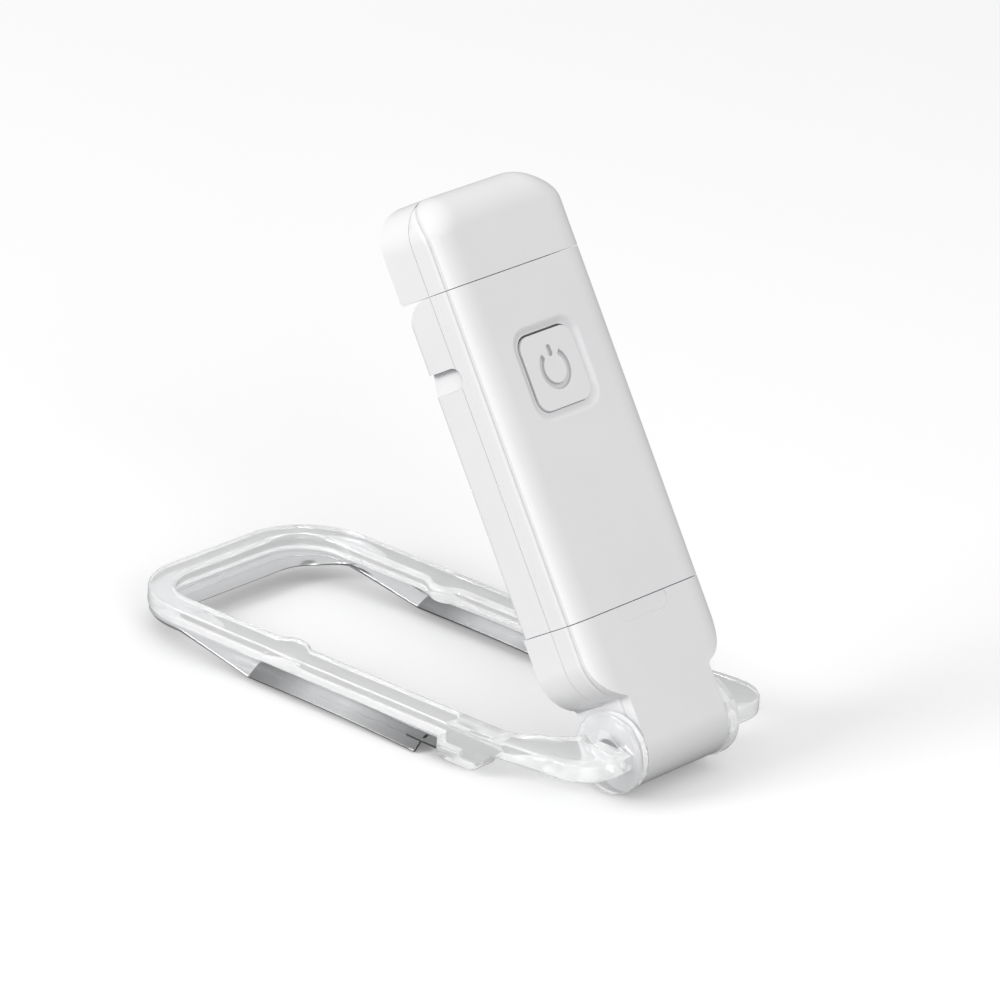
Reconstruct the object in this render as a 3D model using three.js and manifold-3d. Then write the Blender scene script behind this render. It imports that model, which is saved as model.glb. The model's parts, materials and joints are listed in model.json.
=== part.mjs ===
// Clip-on reading lamp: a clear clip frame with a steel jaw, a folding base, a lamp body that
// pulls off the base to bare its USB plug, a power button and a head that tilts back.
// Millimetres, +Z up. The clip frame lies level and the lamp leans over it.

import * as THREE from 'three';
import { mergeVertices } from 'three/addons/utils/BufferGeometryUtils.js';
import Module from 'manifold-3d';

const wasm = await Module();
wasm.setup();

// ---------------------------------------------------------------- driving dimensions

const GAP = 0.3; // between neighbouring pieces
const FAR = 40; // reach of a cutting block past the piece it cuts

// The lamp's own frame: x across, y from front to rear, z from the clip hinge to the head.
const LEAN = THREE.MathUtils.degToRad(31.46); // lean of the lamp from upright, over the clip
const BODY_HALF = 13;
const BODY_FRONT = -5.4;
const BODY_REAR = 4.98;
const CROWN_DEPTH = 1.14; // fall of the front face from its flat to its side edge
const CROWN_WIDTH = 3.5;
const MID_SEAM = 0.7;
const COVER_SEAM = -3.7;
const BASE_SEAM = 17.9;
const HEAD_SEAM = 65;
const HEAD_TOP = 77.5;
const HEAD_REAR = 5.2;
const HEAD_CORNER = 5.75;
const HEAD_BROW = 5; // rounding of the head's front top edge
const WALL = 1.4;
const FLOOR = 1.25;

const TILT_Y = 0.45; // head hinge axis
const TILT_Z = 60.45;
const REAR_CORNER = 4.4; // round top rear corner that the head rolls over
const DRUM_RADIUS = 3.4;
const DRUM_HALF = 3.5;
const ARM_REAR = 3.3;
const TILT_PIN_RADIUS = 1;

const BUTTON_Z = 50.5;
const BUTTON_SIDE = 10.5;
const BUTTON_RIM = 12.4;
const BUTTON_CORNER = 2;
const BUTTON_TOP = -5.25;
const RECESS_SIDE = 12.9;
const RECESS_DEPTH = 0.55;

const NOTCH_Z = 53.62; // side notches for the frame's bumps
const NOTCH_WIDTH = 3.05;
const NOTCH_DEPTH = 1;
const NOTCH_FRONT = -1;

const SHOULDER_Z = 6.3; // underside of the base's shoulders
const SHOULDER_CORNER = 6.4;
const TONGUE_HALF = 8.3;
const TONGUE_FILLET = 0.6;
const BARREL_DROP = 5.45;
const THUMB_HALF = 5;
const THUMB_Z = 15.56;
const THUMB_DEPTH = 0.6;

const PLUG_HALF = 6; // USB-A plug
const PLUG_FRONT = -2.45;
const PLUG_REAR = 2.05;
const PLUG_TIP = 6.3;
const PLUG_ROOT = 26;
const PLUG_SHEET = 0.32;
const POCKET_FLOOR = 5.6;

const BOARD_FRONT = -1.3;
const BOARD_REAR = -0.3;

// The clip's own frame: x across, y from the hinge to the far end, z up, origin on the hinge axis.
const LOOP_HALF = 19.67;
const LOOP_INNER = 14.93;
const LOOP_END = 82.15;
const LOOP_INNER_END = 78.4;
const LOOP_CORNER = 11.5;
const LOOP_INNER_CORNER = 6.5;
const BAR_TOP = 0.24;
const BAR_BOTTOM = -2.28;
const ARM_LIFT = 1.15; // rise of the arms from the bars to the discs
const ARM_END = -4.3;
const ARM_CORNER = 5.5;
const ARM_THROAT = 7.3; // inner curve from a bar to its disc
const THROAT_Y = 11.5;
const DISC_RADIUS = 5.7;
const DISC_INNER = TONGUE_HALF + GAP;
const DISC_OUTER = 10.4;
const PIN_RADIUS = 2;
const PIN_HALF = 9.8;
const BUMP_Y = 52;
const BUMP_REACH = 1.45;
const BUMP_HALF = 2.9;
const BOSS_NEAR = 14.3;
const BOSS_FAR = 22.2;
const BOSS_BOTTOM = -5.3;

const SHEET = 0.45; // spring steel
const JAW_TOP = -2.45;
const JAW_LIP = -3.5;
const JAW_INNER_END = 75.7;
const JAW_INNER_CORNER = 7;
const LEG_INNER = 15.1;
const LEG_OUTER = 19.5;
const LEG_END = 26;
const LEG_FOLD = 56.4;
const LEG_START = 68.5;
const LEG_RISE = 1.5;
const RAMP_RISE = 0.7;
const LEG_CREST_END = -4.35;
const LEG_CREST_FOLD = -3.75;
const TAB_HALF = 1.1;
const TAB_TIP = 19.4;

const STAND_Z = 6.3; // the legs' lower edges stand this far below the hinge axis
const MIDDLE_Y = (LOOP_END - DISC_RADIUS) / 2;

// ---------------------------------------------------------------- materials

const finish = (color, roughness, metalness = 0) =>
  new THREE.MeshStandardMaterial({ color, roughness, metalness });
const whitePlastic = () => finish(0xf3f3f4, 0.32);
const clearPlastic = () => finish(0xe9eef0, 0.06);
const polishedSteel = () => finish(0xc4c6c9, 0.18, 1);
const boardGreen = () => finish(0x1f6b45, 0.5);
const blackPlastic = () => finish(0x202226, 0.5);
const rubber = () => finish(0xd9d9d7, 0.8);

// ---------------------------------------------------------------- solids

function solidOf(geometry) {
  geometry.deleteAttribute('normal');
  geometry.deleteAttribute('uv');
  const merged = mergeVertices(geometry, 1e-4);
  const mesh = new wasm.Mesh({
    numProp: 3,
    vertProperties: merged.attributes.position.array,
    triVerts: Uint32Array.from(merged.index.array),
  });
  return new wasm.Manifold(mesh);
}

function join(...solids) {
  return solids.reduce((whole, piece) => whole.add(piece));
}

function named(name, solid, material) {
  const { vertProperties, triVerts } = solid.getMesh();
  const geometry = new THREE.BufferGeometry();
  geometry.setAttribute('position', new THREE.BufferAttribute(Float32Array.from(vertProperties), 3));
  geometry.setIndex(new THREE.BufferAttribute(Uint32Array.from(triVerts), 1));
  geometry.computeVertexNormals();
  const mesh = new THREE.Mesh(geometry, material);
  mesh.name = name;
  return mesh;
}

function box(x0, x1, y0, y1, z0, z1) {
  const geometry = new THREE.BoxGeometry(x1 - x0, y1 - y0, z1 - z0);
  geometry.translate((x0 + x1) / 2, (y0 + y1) / 2, (z0 + z1) / 2);
  return solidOf(geometry);
}

// A cylinder along x, from x0 to x1.
function rod(radius, x0, x1, y, z, sides = 28) {
  const geometry = new THREE.CylinderGeometry(radius, radius, x1 - x0, sides);
  geometry.rotateZ(Math.PI / 2);
  geometry.translate((x0 + x1) / 2, y, z);
  return solidOf(geometry);
}

// A cylinder along y, from y0 to y1.
function stud(radius, y0, y1, x, z, sides = 20) {
  const geometry = new THREE.CylinderGeometry(radius, radius, y1 - y0, sides);
  geometry.translate(x, (y0 + y1) / 2, z);
  return solidOf(geometry);
}

// An outline in x and z, taken from y0 in front to y1 behind.
function plate(outline, y0, y1) {
  const options = { depth: y1 - y0, bevelEnabled: false, curveSegments: 7 };
  const geometry = new THREE.ExtrudeGeometry(outline, options);
  geometry.rotateX(Math.PI / 2);
  geometry.translate(0, y1, 0);
  return solidOf(geometry);
}

// An outline in y and z, taken from x0 to x1.
function slab(outline, x0, x1) {
  const options = { depth: x1 - x0, bevelEnabled: false, curveSegments: 7 };
  const geometry = new THREE.ExtrudeGeometry(outline, options);
  const turn = new THREE.Matrix4();
  turn.makeBasis(new THREE.Vector3(0, 1, 0), new THREE.Vector3(0, 0, 1), new THREE.Vector3(1, 0, 0));
  geometry.applyMatrix4(turn);
  geometry.translate(x0, 0, 0);
  return solidOf(geometry);
}

// An outline in x and y, taken from z0 up to z1.
function layer(outline, z0, z1) {
  const options = { depth: z1 - z0, bevelEnabled: false, curveSegments: 7 };
  const geometry = new THREE.ExtrudeGeometry(outline, options);
  geometry.translate(0, 0, z0);
  return solidOf(geometry);
}

// An outline in x and z whose front edge falls away in a crown.
function crowned(outline) {
  const geometry = new THREE.ExtrudeGeometry(outline, {
    depth: FAR,
    bevelThickness: CROWN_DEPTH,
    bevelSize: CROWN_WIDTH,
    bevelOffset: -CROWN_WIDTH,
    bevelSegments: 3,
    curveSegments: 7,
  });
  geometry.rotateX(Math.PI / 2);
  geometry.translate(0, BODY_FRONT + FAR + CROWN_DEPTH, 0);
  return solidOf(geometry);
}

function roundedRect(a0, a1, b0, b1, radius) {
  const outline = new THREE.Shape();
  outline.moveTo(a0 + radius, b0);
  outline.lineTo(a1 - radius, b0);
  outline.absarc(a1 - radius, b0 + radius, radius, -Math.PI / 2, 0);
  outline.lineTo(a1, b1 - radius);
  outline.absarc(a1 - radius, b1 - radius, radius, 0, Math.PI / 2);
  outline.lineTo(a0 + radius, b1);
  outline.absarc(a0 + radius, b1 - radius, radius, Math.PI / 2, Math.PI);
  outline.lineTo(a0, b0 + radius);
  outline.absarc(a0 + radius, b0 + radius, radius, Math.PI, 1.5 * Math.PI);
  return outline;
}

function polygon(points) {
  return new THREE.Shape(points.map(([a, b]) => new THREE.Vector2(a, b)));
}

function square(side, corner, z) {
  return roundedRect(-side / 2, side / 2, z - side / 2, z + side / 2, corner);
}

// The three layers that the lamp body and the head share.
const frontLayer = box(-FAR, FAR, -FAR, COVER_SEAM - GAP / 2, -FAR, 3 * FAR);
const midLayer = box(-FAR, FAR, COVER_SEAM + GAP / 2, MID_SEAM - GAP / 2, -FAR, 3 * FAR);
const rearLayer = box(-FAR, FAR, MID_SEAM + GAP / 2, FAR, -FAR, 3 * FAR);

// ---------------------------------------------------------------- clip

function loopOutline() {
  const outline = new THREE.Shape();
  const throatX = LOOP_INNER - ARM_THROAT;
  const root = DISC_OUTER - 0.6;
  const throatTurn = Math.acos((root - throatX) / ARM_THROAT);
  outline.moveTo(root, ARM_END);
  outline.lineTo(LOOP_HALF - ARM_CORNER, ARM_END);
  outline.absarc(LOOP_HALF - ARM_CORNER, ARM_END + ARM_CORNER, ARM_CORNER, -Math.PI / 2, 0);
  outline.absarc(LOOP_HALF - LOOP_CORNER, LOOP_END - LOOP_CORNER, LOOP_CORNER, 0, Math.PI / 2);
  outline.absarc(LOOP_CORNER - LOOP_HALF, LOOP_END - LOOP_CORNER, LOOP_CORNER, Math.PI / 2, Math.PI);
  outline.absarc(ARM_CORNER - LOOP_HALF, ARM_END + ARM_CORNER, ARM_CORNER, Math.PI, 1.5 * Math.PI);
  outline.lineTo(-root, ARM_END);
  outline.absarc(-throatX, THROAT_Y, ARM_THROAT, Math.PI + throatTurn, Math.PI, true);
  const cornerX = LOOP_INNER - LOOP_INNER_CORNER;
  const cornerY = LOOP_INNER_END - LOOP_INNER_CORNER;
  outline.absarc(-cornerX, cornerY, LOOP_INNER_CORNER, Math.PI, Math.PI / 2, true);
  outline.absarc(cornerX, cornerY, LOOP_INNER_CORNER, Math.PI / 2, 0, true);
  outline.absarc(throatX, THROAT_Y, ARM_THROAT, 0, -throatTurn, true);
  return outline;
}

function barProfile() {
  return polygon([
    [ARM_END - 1, BAR_BOTTOM + ARM_LIFT],
    [DISC_RADIUS - 1, BAR_BOTTOM + ARM_LIFT],
    [BOSS_NEAR, BAR_BOTTOM],
    [LOOP_END + 1, BAR_BOTTOM],
    [LOOP_END + 1, BAR_TOP],
    [BOSS_NEAR, BAR_TOP],
    [DISC_RADIUS - 1, BAR_TOP + ARM_LIFT],
    [ARM_END - 1, BAR_TOP + ARM_LIFT],
  ]);
}

function bump(side) {
  const root = side * (LOOP_INNER + 0.5);
  const crest = root - side * (BUMP_REACH + 0.5) / 0.75;
  const outline = new THREE.Shape();
  outline.moveTo(root, BUMP_Y - BUMP_HALF);
  outline.bezierCurveTo(crest, BUMP_Y - 1.6, crest, BUMP_Y + 1.6, root, BUMP_Y + BUMP_HALF);
  return layer(outline, BAR_BOTTOM + 0.2, BAR_TOP - 0.2);
}

function boss(side) {
  const inner = side * (LOOP_INNER + 0.2);
  const outer = side * (LOOP_HALF - 0.1);
  const lump = polygon([
    [BOSS_NEAR - 2.2, BAR_BOTTOM + 0.6],
    [BOSS_NEAR + 0.6, BOSS_BOTTOM],
    [BOSS_FAR - 0.8, BOSS_BOTTOM],
    [BOSS_FAR, BOSS_BOTTOM + 0.8],
    [BOSS_FAR, BAR_BOTTOM + 0.6],
  ]);
  const tabX = side * (LEG_INNER + LEG_OUTER) / 2;
  const slotHalf = TAB_HALF + GAP;
  const tabZ = LEG_CREST_END + 0.02;
  const slot = box(tabX - slotHalf, tabX + slotHalf, TAB_TIP - 0.4, FAR, tabZ - 0.5, tabZ + 0.5);
  return slab(lump, Math.min(inner, outer), Math.max(inner, outer)).subtract(slot);
}

function hingeDisc(side) {
  const near = Math.min(side * DISC_INNER, side * DISC_OUTER);
  return rod(DISC_RADIUS, near, near + DISC_OUTER - DISC_INNER, 0, 0, 40);
}

function clipFrame() {
  const bars = layer(loopOutline(), -FAR, FAR).intersect(slab(barProfile(), -FAR, FAR));
  const sides = [-1, 1].map((side) => join(hingeDisc(side), boss(side), bump(side)));
  const whole = join(bars, ...sides);
  const pinHole = rod(PIN_RADIUS + 0.15, -DISC_OUTER, DISC_OUTER, 0, 0);
  return named('clip_frame', whole.subtract(pinHole), clearPlastic());
}

function jawOutline(inset) {
  const outer = LEG_OUTER - inset;
  const inner = LEG_INNER + inset;
  const end = LOOP_END - 0.2 - inset;
  const innerEnd = JAW_INNER_END + inset;
  const start = LEG_START - inset;
  const corner = LOOP_CORNER - inset;
  const outline = new THREE.Shape();
  outline.moveTo(outer, start);
  outline.lineTo(outer, end - corner);
  outline.absarc(outer - corner, end - corner, corner, 0, Math.PI / 2);
  outline.absarc(corner - outer, end - corner, corner, Math.PI / 2, Math.PI);
  outline.lineTo(-outer, start);
  outline.lineTo(-inner, start);
  const cornerY = innerEnd - JAW_INNER_CORNER;
  outline.absarc(JAW_INNER_CORNER - inner, cornerY, JAW_INNER_CORNER, Math.PI, Math.PI / 2, true);
  outline.absarc(inner - JAW_INNER_CORNER, cornerY, JAW_INNER_CORNER, Math.PI / 2, 0, true);
  outline.lineTo(inner, start);
  return outline;
}

// A run of arched sheet along y, its crest going straight from one height to another.
function archedRun(side, rise, yA, crestA, yB, crestB) {
  const middle = side * (LEG_INNER + LEG_OUTER) / 2;
  const half = (LEG_OUTER - LEG_INNER) / 2;
  const steps = [-1, -0.75, -0.4, 0, 0.4, 0.75, 1];
  const over = steps.map((s) => [middle + s * half, -rise * s * s]);
  const under = steps.map((s) => [middle + s * half, -rise * s * s - SHEET]).reverse();
  const options = { depth: yB - yA, bevelEnabled: false };
  const geometry = new THREE.ExtrudeGeometry(polygon([...over, ...under]), options);
  geometry.rotateX(Math.PI / 2);
  geometry.translate(0, yB - yA, 0);
  const slope = (crestB - crestA) / (yB - yA);
  geometry.applyMatrix4(new THREE.Matrix4().makeShear(0, 0, 0, slope, 0, 0));
  geometry.translate(0, yA, crestA);
  return solidOf(geometry);
}

function springLeg(side) {
  const tabX = side * (LEG_INNER + LEG_OUTER) / 2;
  const leg = archedRun(side, LEG_RISE, LEG_END, LEG_CREST_END, LEG_FOLD, LEG_CREST_FOLD);
  const ramp = archedRun(side, RAMP_RISE, LEG_FOLD - 0.4, LEG_CREST_FOLD - 0.4, LEG_START + 0.5, JAW_TOP);
  const tabFloor = LEG_CREST_END - 0.2;
  const tab = box(tabX - TAB_HALF, tabX + TAB_HALF, TAB_TIP, LEG_END + 2, tabFloor, tabFloor + 0.45);
  return join(leg, ramp, tab);
}

function springClip() {
  const hollow = layer(jawOutline(SHEET), -FAR, JAW_TOP - SHEET);
  const jaw = layer(jawOutline(0), JAW_LIP, JAW_TOP).subtract(hollow);
  return named('spring_clip', join(jaw, springLeg(-1), springLeg(1)), polishedSteel());
}

function clip() {
  const group = new THREE.Group();
  group.add(clipFrame(), springClip());
  group.add(named('hinge_pin', rod(PIN_RADIUS, -PIN_HALF, PIN_HALF, 0, 0), polishedSteel()));
  return group;
}

// ---------------------------------------------------------------- base

function baseOutline() {
  const outline = new THREE.Shape();
  const cornerX = BODY_HALF - SHOULDER_CORNER;
  const cornerZ = SHOULDER_Z + SHOULDER_CORNER;
  const filletX = TONGUE_HALF + TONGUE_FILLET;
  const reach = SHOULDER_CORNER + TONGUE_FILLET;
  const turn = Math.acos((filletX - cornerX) / reach);
  const filletZ = cornerZ - reach * Math.sin(turn);
  outline.moveTo(BODY_HALF, FAR);
  outline.lineTo(-BODY_HALF, FAR);
  outline.absarc(-cornerX, cornerZ, SHOULDER_CORNER, Math.PI, Math.PI + turn);
  outline.absarc(-filletX, filletZ, TONGUE_FILLET, turn, 0, true);
  outline.lineTo(-TONGUE_HALF, -FAR / 2);
  outline.lineTo(TONGUE_HALF, -FAR / 2);
  outline.absarc(filletX, filletZ, TONGUE_FILLET, Math.PI, Math.PI - turn, true);
  outline.absarc(cornerX, cornerZ, SHOULDER_CORNER, -turn, 0);
  return outline;
}

function baseProfile() {
  const outline = new THREE.Shape();
  const middle = (BODY_FRONT + BODY_REAR) / 2;
  const half = (BODY_REAR - BODY_FRONT) / 2;
  outline.moveTo(BODY_FRONT, BASE_SEAM - GAP / 2);
  outline.lineTo(BODY_FRONT, 0);
  outline.absellipse(middle, 0, half, BARREL_DROP, Math.PI, 2 * Math.PI);
  outline.lineTo(BODY_REAR, BASE_SEAM - GAP / 2);
  return outline;
}

function baseShells() {
  const side = PLUG_HALF + 1.2;
  const lining = box(-side, side, PLUG_FRONT - 0.85, PLUG_REAR + 0.85, POCKET_FLOOR, FAR);
  const wings = box(WALL - BODY_HALF, BODY_HALF - WALL, BODY_FRONT + FLOOR, BODY_REAR - FLOOR, 12.2, 16.3);
  const thumb = roundedRect(-THUMB_HALF, THUMB_HALF, THUMB_Z, BASE_SEAM + 3, 1.3);
  const whole = crowned(baseOutline())
    .intersect(slab(baseProfile(), -FAR, FAR))
    .subtract(lining)
    .subtract(wings)
    .subtract(plate(thumb, -FAR, BODY_FRONT + THUMB_DEPTH))
    .subtract(rod(PIN_RADIUS + 0.2, -FAR, FAR, 0, 0));
  const rearSpace = box(-FAR, FAR, MID_SEAM - GAP / 2, FAR, SHOULDER_Z - GAP, FAR);
  const rearKept = box(-FAR, FAR, MID_SEAM + GAP / 2, FAR, SHOULDER_Z, FAR);
  return [
    named('base_front_shell', whole.subtract(rearSpace), whitePlastic()),
    named('base_rear_shell', whole.intersect(rearKept), whitePlastic()),
  ];
}

function pocketLiner() {
  const outside = roundedRect(-PLUG_HALF - 0.9, PLUG_HALF + 0.9, PLUG_FRONT - 0.55, PLUG_REAR + 0.55, 0.8);
  const inside = roundedRect(-PLUG_HALF - 0.2, PLUG_HALF + 0.2, PLUG_FRONT - 0.2, PLUG_REAR + 0.2, 0.5);
  const tube = layer(outside, POCKET_FLOOR + GAP, BASE_SEAM - 0.5).subtract(layer(inside, -FAR, FAR));
  return named('plug_pocket_liner', tube, rubber());
}

// ---------------------------------------------------------------- lamp body

function lampProfile(front, rear, bottom, top, corner) {
  const outline = new THREE.Shape();
  outline.moveTo(front, bottom);
  outline.lineTo(rear, bottom);
  outline.absarc(rear - corner, top - corner, corner, 0, Math.PI / 2);
  outline.lineTo(front, top);
  return outline;
}

function sideNotch(side) {
  const end = NOTCH_WIDTH / 2;
  const outline = new THREE.Shape();
  outline.moveTo(FAR, NOTCH_Z - end);
  outline.lineTo(FAR, NOTCH_Z + end);
  outline.lineTo(NOTCH_FRONT + end, NOTCH_Z + end);
  outline.absarc(NOTCH_FRONT + end, NOTCH_Z, end, Math.PI / 2, 1.5 * Math.PI);
  const floor = BODY_HALF - NOTCH_DEPTH;
  return side > 0 ? slab(outline, floor, FAR) : slab(outline, -FAR, -floor);
}

function hingeCheek(side) {
  const near = side > 0 ? DRUM_HALF + 0.8 : -DRUM_HALF - 3;
  return box(near, near + 2.2, TILT_Y - 1.7, BODY_REAR - 0.9, TILT_Z - 2.2, TILT_Z + 2.3);
}

function buttonRecess() {
  const floorSide = RECESS_SIDE - 1.8;
  const geometry = new THREE.ExtrudeGeometry(square(RECESS_SIDE, BUTTON_CORNER + 0.9, 0), {
    depth: 5,
    bevelThickness: RECESS_DEPTH,
    bevelSize: (RECESS_SIDE - floorSide) / 2,
    bevelOffset: (floorSide - RECESS_SIDE) / 2,
    bevelSegments: 1,
    curveSegments: 7,
  });
  geometry.rotateX(Math.PI / 2);
  geometry.translate(0, BODY_FRONT, BUTTON_Z);
  return solidOf(geometry);
}

function lampShells() {
  const bottom = BASE_SEAM + GAP / 2;
  const top = HEAD_SEAM - GAP / 2;
  const sides = polygon([
    [-BODY_HALF, bottom - 9],
    [BODY_HALF, bottom - 9],
    [BODY_HALF, top + 9],
    [-BODY_HALF, top + 9],
  ]);
  const outside = crowned(sides)
    .intersect(slab(lampProfile(BODY_FRONT, BODY_REAR, bottom, top, REAR_CORNER), -FAR, FAR));
  const hollowProfile = lampProfile(
    BODY_FRONT + FLOOR, BODY_REAR - FLOOR, bottom + WALL, top - WALL, REAR_CORNER - FLOOR);
  const hollow = slab(hollowProfile, WALL - BODY_HALF, BODY_HALF - WALL);
  const plugHole = box(
    -PLUG_HALF - GAP, PLUG_HALF + GAP, PLUG_FRONT - GAP, PLUG_REAR + GAP, bottom - 1, bottom + WALL + 1);
  const drumSpace = rod(DRUM_RADIUS + GAP, -DRUM_HALF - 0.3, DRUM_HALF + 0.3, TILT_Y, TILT_Z, 36);
  const slotHalf = DRUM_HALF + 0.3;
  const slotFloor = TILT_Z - ARM_REAR + TILT_Y - GAP;
  const armSlot = box(-slotHalf, slotHalf, MID_SEAM, FAR, slotFloor, FAR * 2);
  const whole = outside
    .subtract(hollow)
    .subtract(plugHole)
    .subtract(drumSpace)
    .subtract(join(sideNotch(-1), sideNotch(1)));
  const buttonHole = plate(square(BUTTON_SIDE + 2 * GAP, BUTTON_CORNER + GAP, BUTTON_Z), -FAR, 0);
  const cover = whole.intersect(frontLayer).subtract(buttonHole).subtract(buttonRecess());
  const rear = join(whole.intersect(rearLayer).subtract(armSlot), hingeCheek(-1), hingeCheek(1))
    .subtract(rod(TILT_PIN_RADIUS + 0.15, -FAR, FAR, TILT_Y, TILT_Z));
  return [
    named('front_cover', cover, whitePlastic()),
    named('mid_housing', whole.intersect(midLayer), whitePlastic()),
    named('rear_shell', rear, whitePlastic()),
  ];
}

function powerButton() {
  const cap = plate(square(BUTTON_SIDE, BUTTON_CORNER, BUTTON_Z), BUTTON_TOP, -3.1);
  const rim = plate(square(BUTTON_RIM, BUTTON_CORNER, BUTTON_Z), BODY_FRONT + FLOOR + 0.35, -3.1);
  const stem = stud(1.2, -3.2, -2.9, 0, BUTTON_Z);
  return named('power_button', join(cap, rim, stem), whitePlastic());
}

function buttonRing() {
  const ring = plate(square(BUTTON_RIM, BUTTON_CORNER, BUTTON_Z), -2.3, -1.6)
    .subtract(plate(square(BUTTON_RIM - 3, 1, BUTTON_Z), -FAR, FAR));
  return named('button_ring', ring, rubber());
}

function usbPlug() {
  const outside = roundedRect(-PLUG_HALF, PLUG_HALF, PLUG_FRONT, PLUG_REAR, 0.5);
  const inside = roundedRect(
    PLUG_SHEET - PLUG_HALF, PLUG_HALF - PLUG_SHEET, PLUG_FRONT + PLUG_SHEET, PLUG_REAR - PLUG_SHEET, 0.2);
  const windows = [-1, 1].map((side) => box(side * 3 - 1.1, side * 3 + 1.1, -FAR, FAR, 11, 13.2));
  const tube = layer(outside, PLUG_TIP, PLUG_ROOT).subtract(layer(inside, -FAR, FAR));
  const shell = tube.subtract(join(...windows));
  const tongue = box(-5.3, 5.3, -1.85, -0.05, PLUG_TIP + 0.5, PLUG_ROOT - 0.5);
  const contacts = [-3.5, -1, 1, 3.5].map((x, index) => {
    const strip = box(x - 0.5, x + 0.5, 0.1, 0.3, PLUG_TIP + 1.3, PLUG_TIP + 9.5);
    return named(`usb_contact_${index + 1}`, strip, finish(0xd8b25a, 0.25, 1));
  });
  return [
    named('usb_shell', shell, polishedSteel()),
    named('usb_tongue', tongue, finish(0xf2f2f0, 0.5)),
    ...contacts,
  ];
}

function mainBoard() {
  const board = plate(roundedRect(-10.9, 10.9, PLUG_ROOT + 0.5, 55, 1), BOARD_FRONT, BOARD_REAR);
  const front = BOARD_FRONT - GAP;
  const body = plate(square(4.6, 0.4, BUTTON_Z), front - 0.6, front);
  const tact = join(body, stud(0.9, front - 0.8, front - 0.3, 0, BUTTON_Z));
  return [
    named('main_board', board, boardGreen()),
    named('tact_switch', tact, blackPlastic()),
    named('charge_controller', box(-8, -4, front - 0.7, front, 34, 39), blackPlastic()),
    named('power_inductor', stud(2.1, front - 1.6, front, 5, 36.5), blackPlastic()),
    named('status_led', box(-0.8, 0.8, front - 0.6, front, 31, 31.9), finish(0xf4efd0, 0.3)),
  ];
}

function battery() {
  const pouch = roundedRect(-9.4, 9.4, 0, 3.4, 1.2);
  const leads = [-7.8, 7.8].map((x) => {
    const route = new THREE.CatmullRomCurve3([
      new THREE.Vector3(x, 1.7, 54.4),
      new THREE.Vector3(x, 1.2, 55.7),
      new THREE.Vector3(x, -0.8, 55.9),
      new THREE.Vector3(x, -2.1, 55.4),
      new THREE.Vector3(x, -2.3, 54.4),
    ]);
    const section = new THREE.Shape().absarc(0, 0, 0.4, 0, 2 * Math.PI);
    const options = { steps: 10, curveSegments: 4, extrudePath: route };
    const lead = solidOf(new THREE.ExtrudeGeometry(section, options));
    return named(x < 0 ? 'battery_lead_left' : 'battery_lead_right', lead, finish(0xb3272a, 0.5));
  });
  return [
    named('battery_cell', layer(pouch, 28, 54), finish(0xb9bdc2, 0.35, 0.6)),
    ...leads,
  ];
}

function tiltHinge() {
  const washers = [-1, 1].map((side) => {
    const near = side > 0 ? DRUM_HALF + 0.15 : -DRUM_HALF - 0.6;
    const ring = rod(2.1, near, near + 0.45, TILT_Y, TILT_Z)
      .subtract(rod(TILT_PIN_RADIUS + 0.2, -FAR, FAR, TILT_Y, TILT_Z));
    return named(side > 0 ? 'friction_washer_right' : 'friction_washer_left', ring, polishedSteel());
  });
  const reach = DRUM_HALF + 3.4;
  const pin = rod(TILT_PIN_RADIUS, -reach, reach, TILT_Y, TILT_Z);
  return [named('tilt_pin', pin, polishedSteel()), ...washers];
}

// ---------------------------------------------------------------- head

function headOutline(inset) {
  const half = BODY_HALF - inset;
  const top = HEAD_TOP - inset;
  const corner = HEAD_CORNER - inset;
  const outline = new THREE.Shape();
  outline.moveTo(-half, FAR);
  outline.lineTo(half, FAR);
  outline.absarc(half - corner, top - corner, corner, 0, Math.PI / 2);
  outline.absarc(corner - half, top - corner, corner, Math.PI / 2, Math.PI);
  return outline;
}

function headProfile(inset, wall) {
  const front = BODY_FRONT + inset;
  const rear = HEAD_REAR - inset;
  const top = HEAD_TOP - wall;
  const bottom = HEAD_SEAM + GAP / 2 + wall;
  const brow = HEAD_BROW - inset;
  const outline = new THREE.Shape();
  outline.moveTo(front, bottom);
  outline.lineTo(rear - 0.5, bottom);
  outline.lineTo(rear, bottom + 0.5);
  outline.absarc(rear - 0.8, top - 0.8, 0.8, 0, Math.PI / 2);
  outline.absarc(front + brow, top - brow, brow, Math.PI / 2, Math.PI);
  return outline;
}

function headShells() {
  const outside = crowned(headOutline(0)).intersect(slab(headProfile(0, 0), -FAR, FAR));
  const hollow = plate(headOutline(WALL), -FAR, FAR).intersect(slab(headProfile(FLOOR, WALL), -FAR, FAR));
  const whole = outside.subtract(hollow);
  const window = plate(roundedRect(-9.5, 9.5, 68, 75, 1.5), 2, FAR);
  const arm = box(-DRUM_HALF, DRUM_HALF, MID_SEAM + GAP / 2, ARM_REAR, TILT_Z, HEAD_SEAM + 1);
  const drum = rod(DRUM_RADIUS, -DRUM_HALF, DRUM_HALF, TILT_Y, TILT_Z, 36);
  const rear = join(whole.intersect(rearLayer).subtract(window), arm, drum)
    .subtract(rod(TILT_PIN_RADIUS + 0.15, -FAR, FAR, TILT_Y, TILT_Z));
  return [
    named('head_front_cover', whole.intersect(frontLayer), whitePlastic()),
    named('head_mid_housing', whole.intersect(midLayer), whitePlastic()),
    named('head_rear_housing', rear, whitePlastic()),
  ];
}

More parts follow.
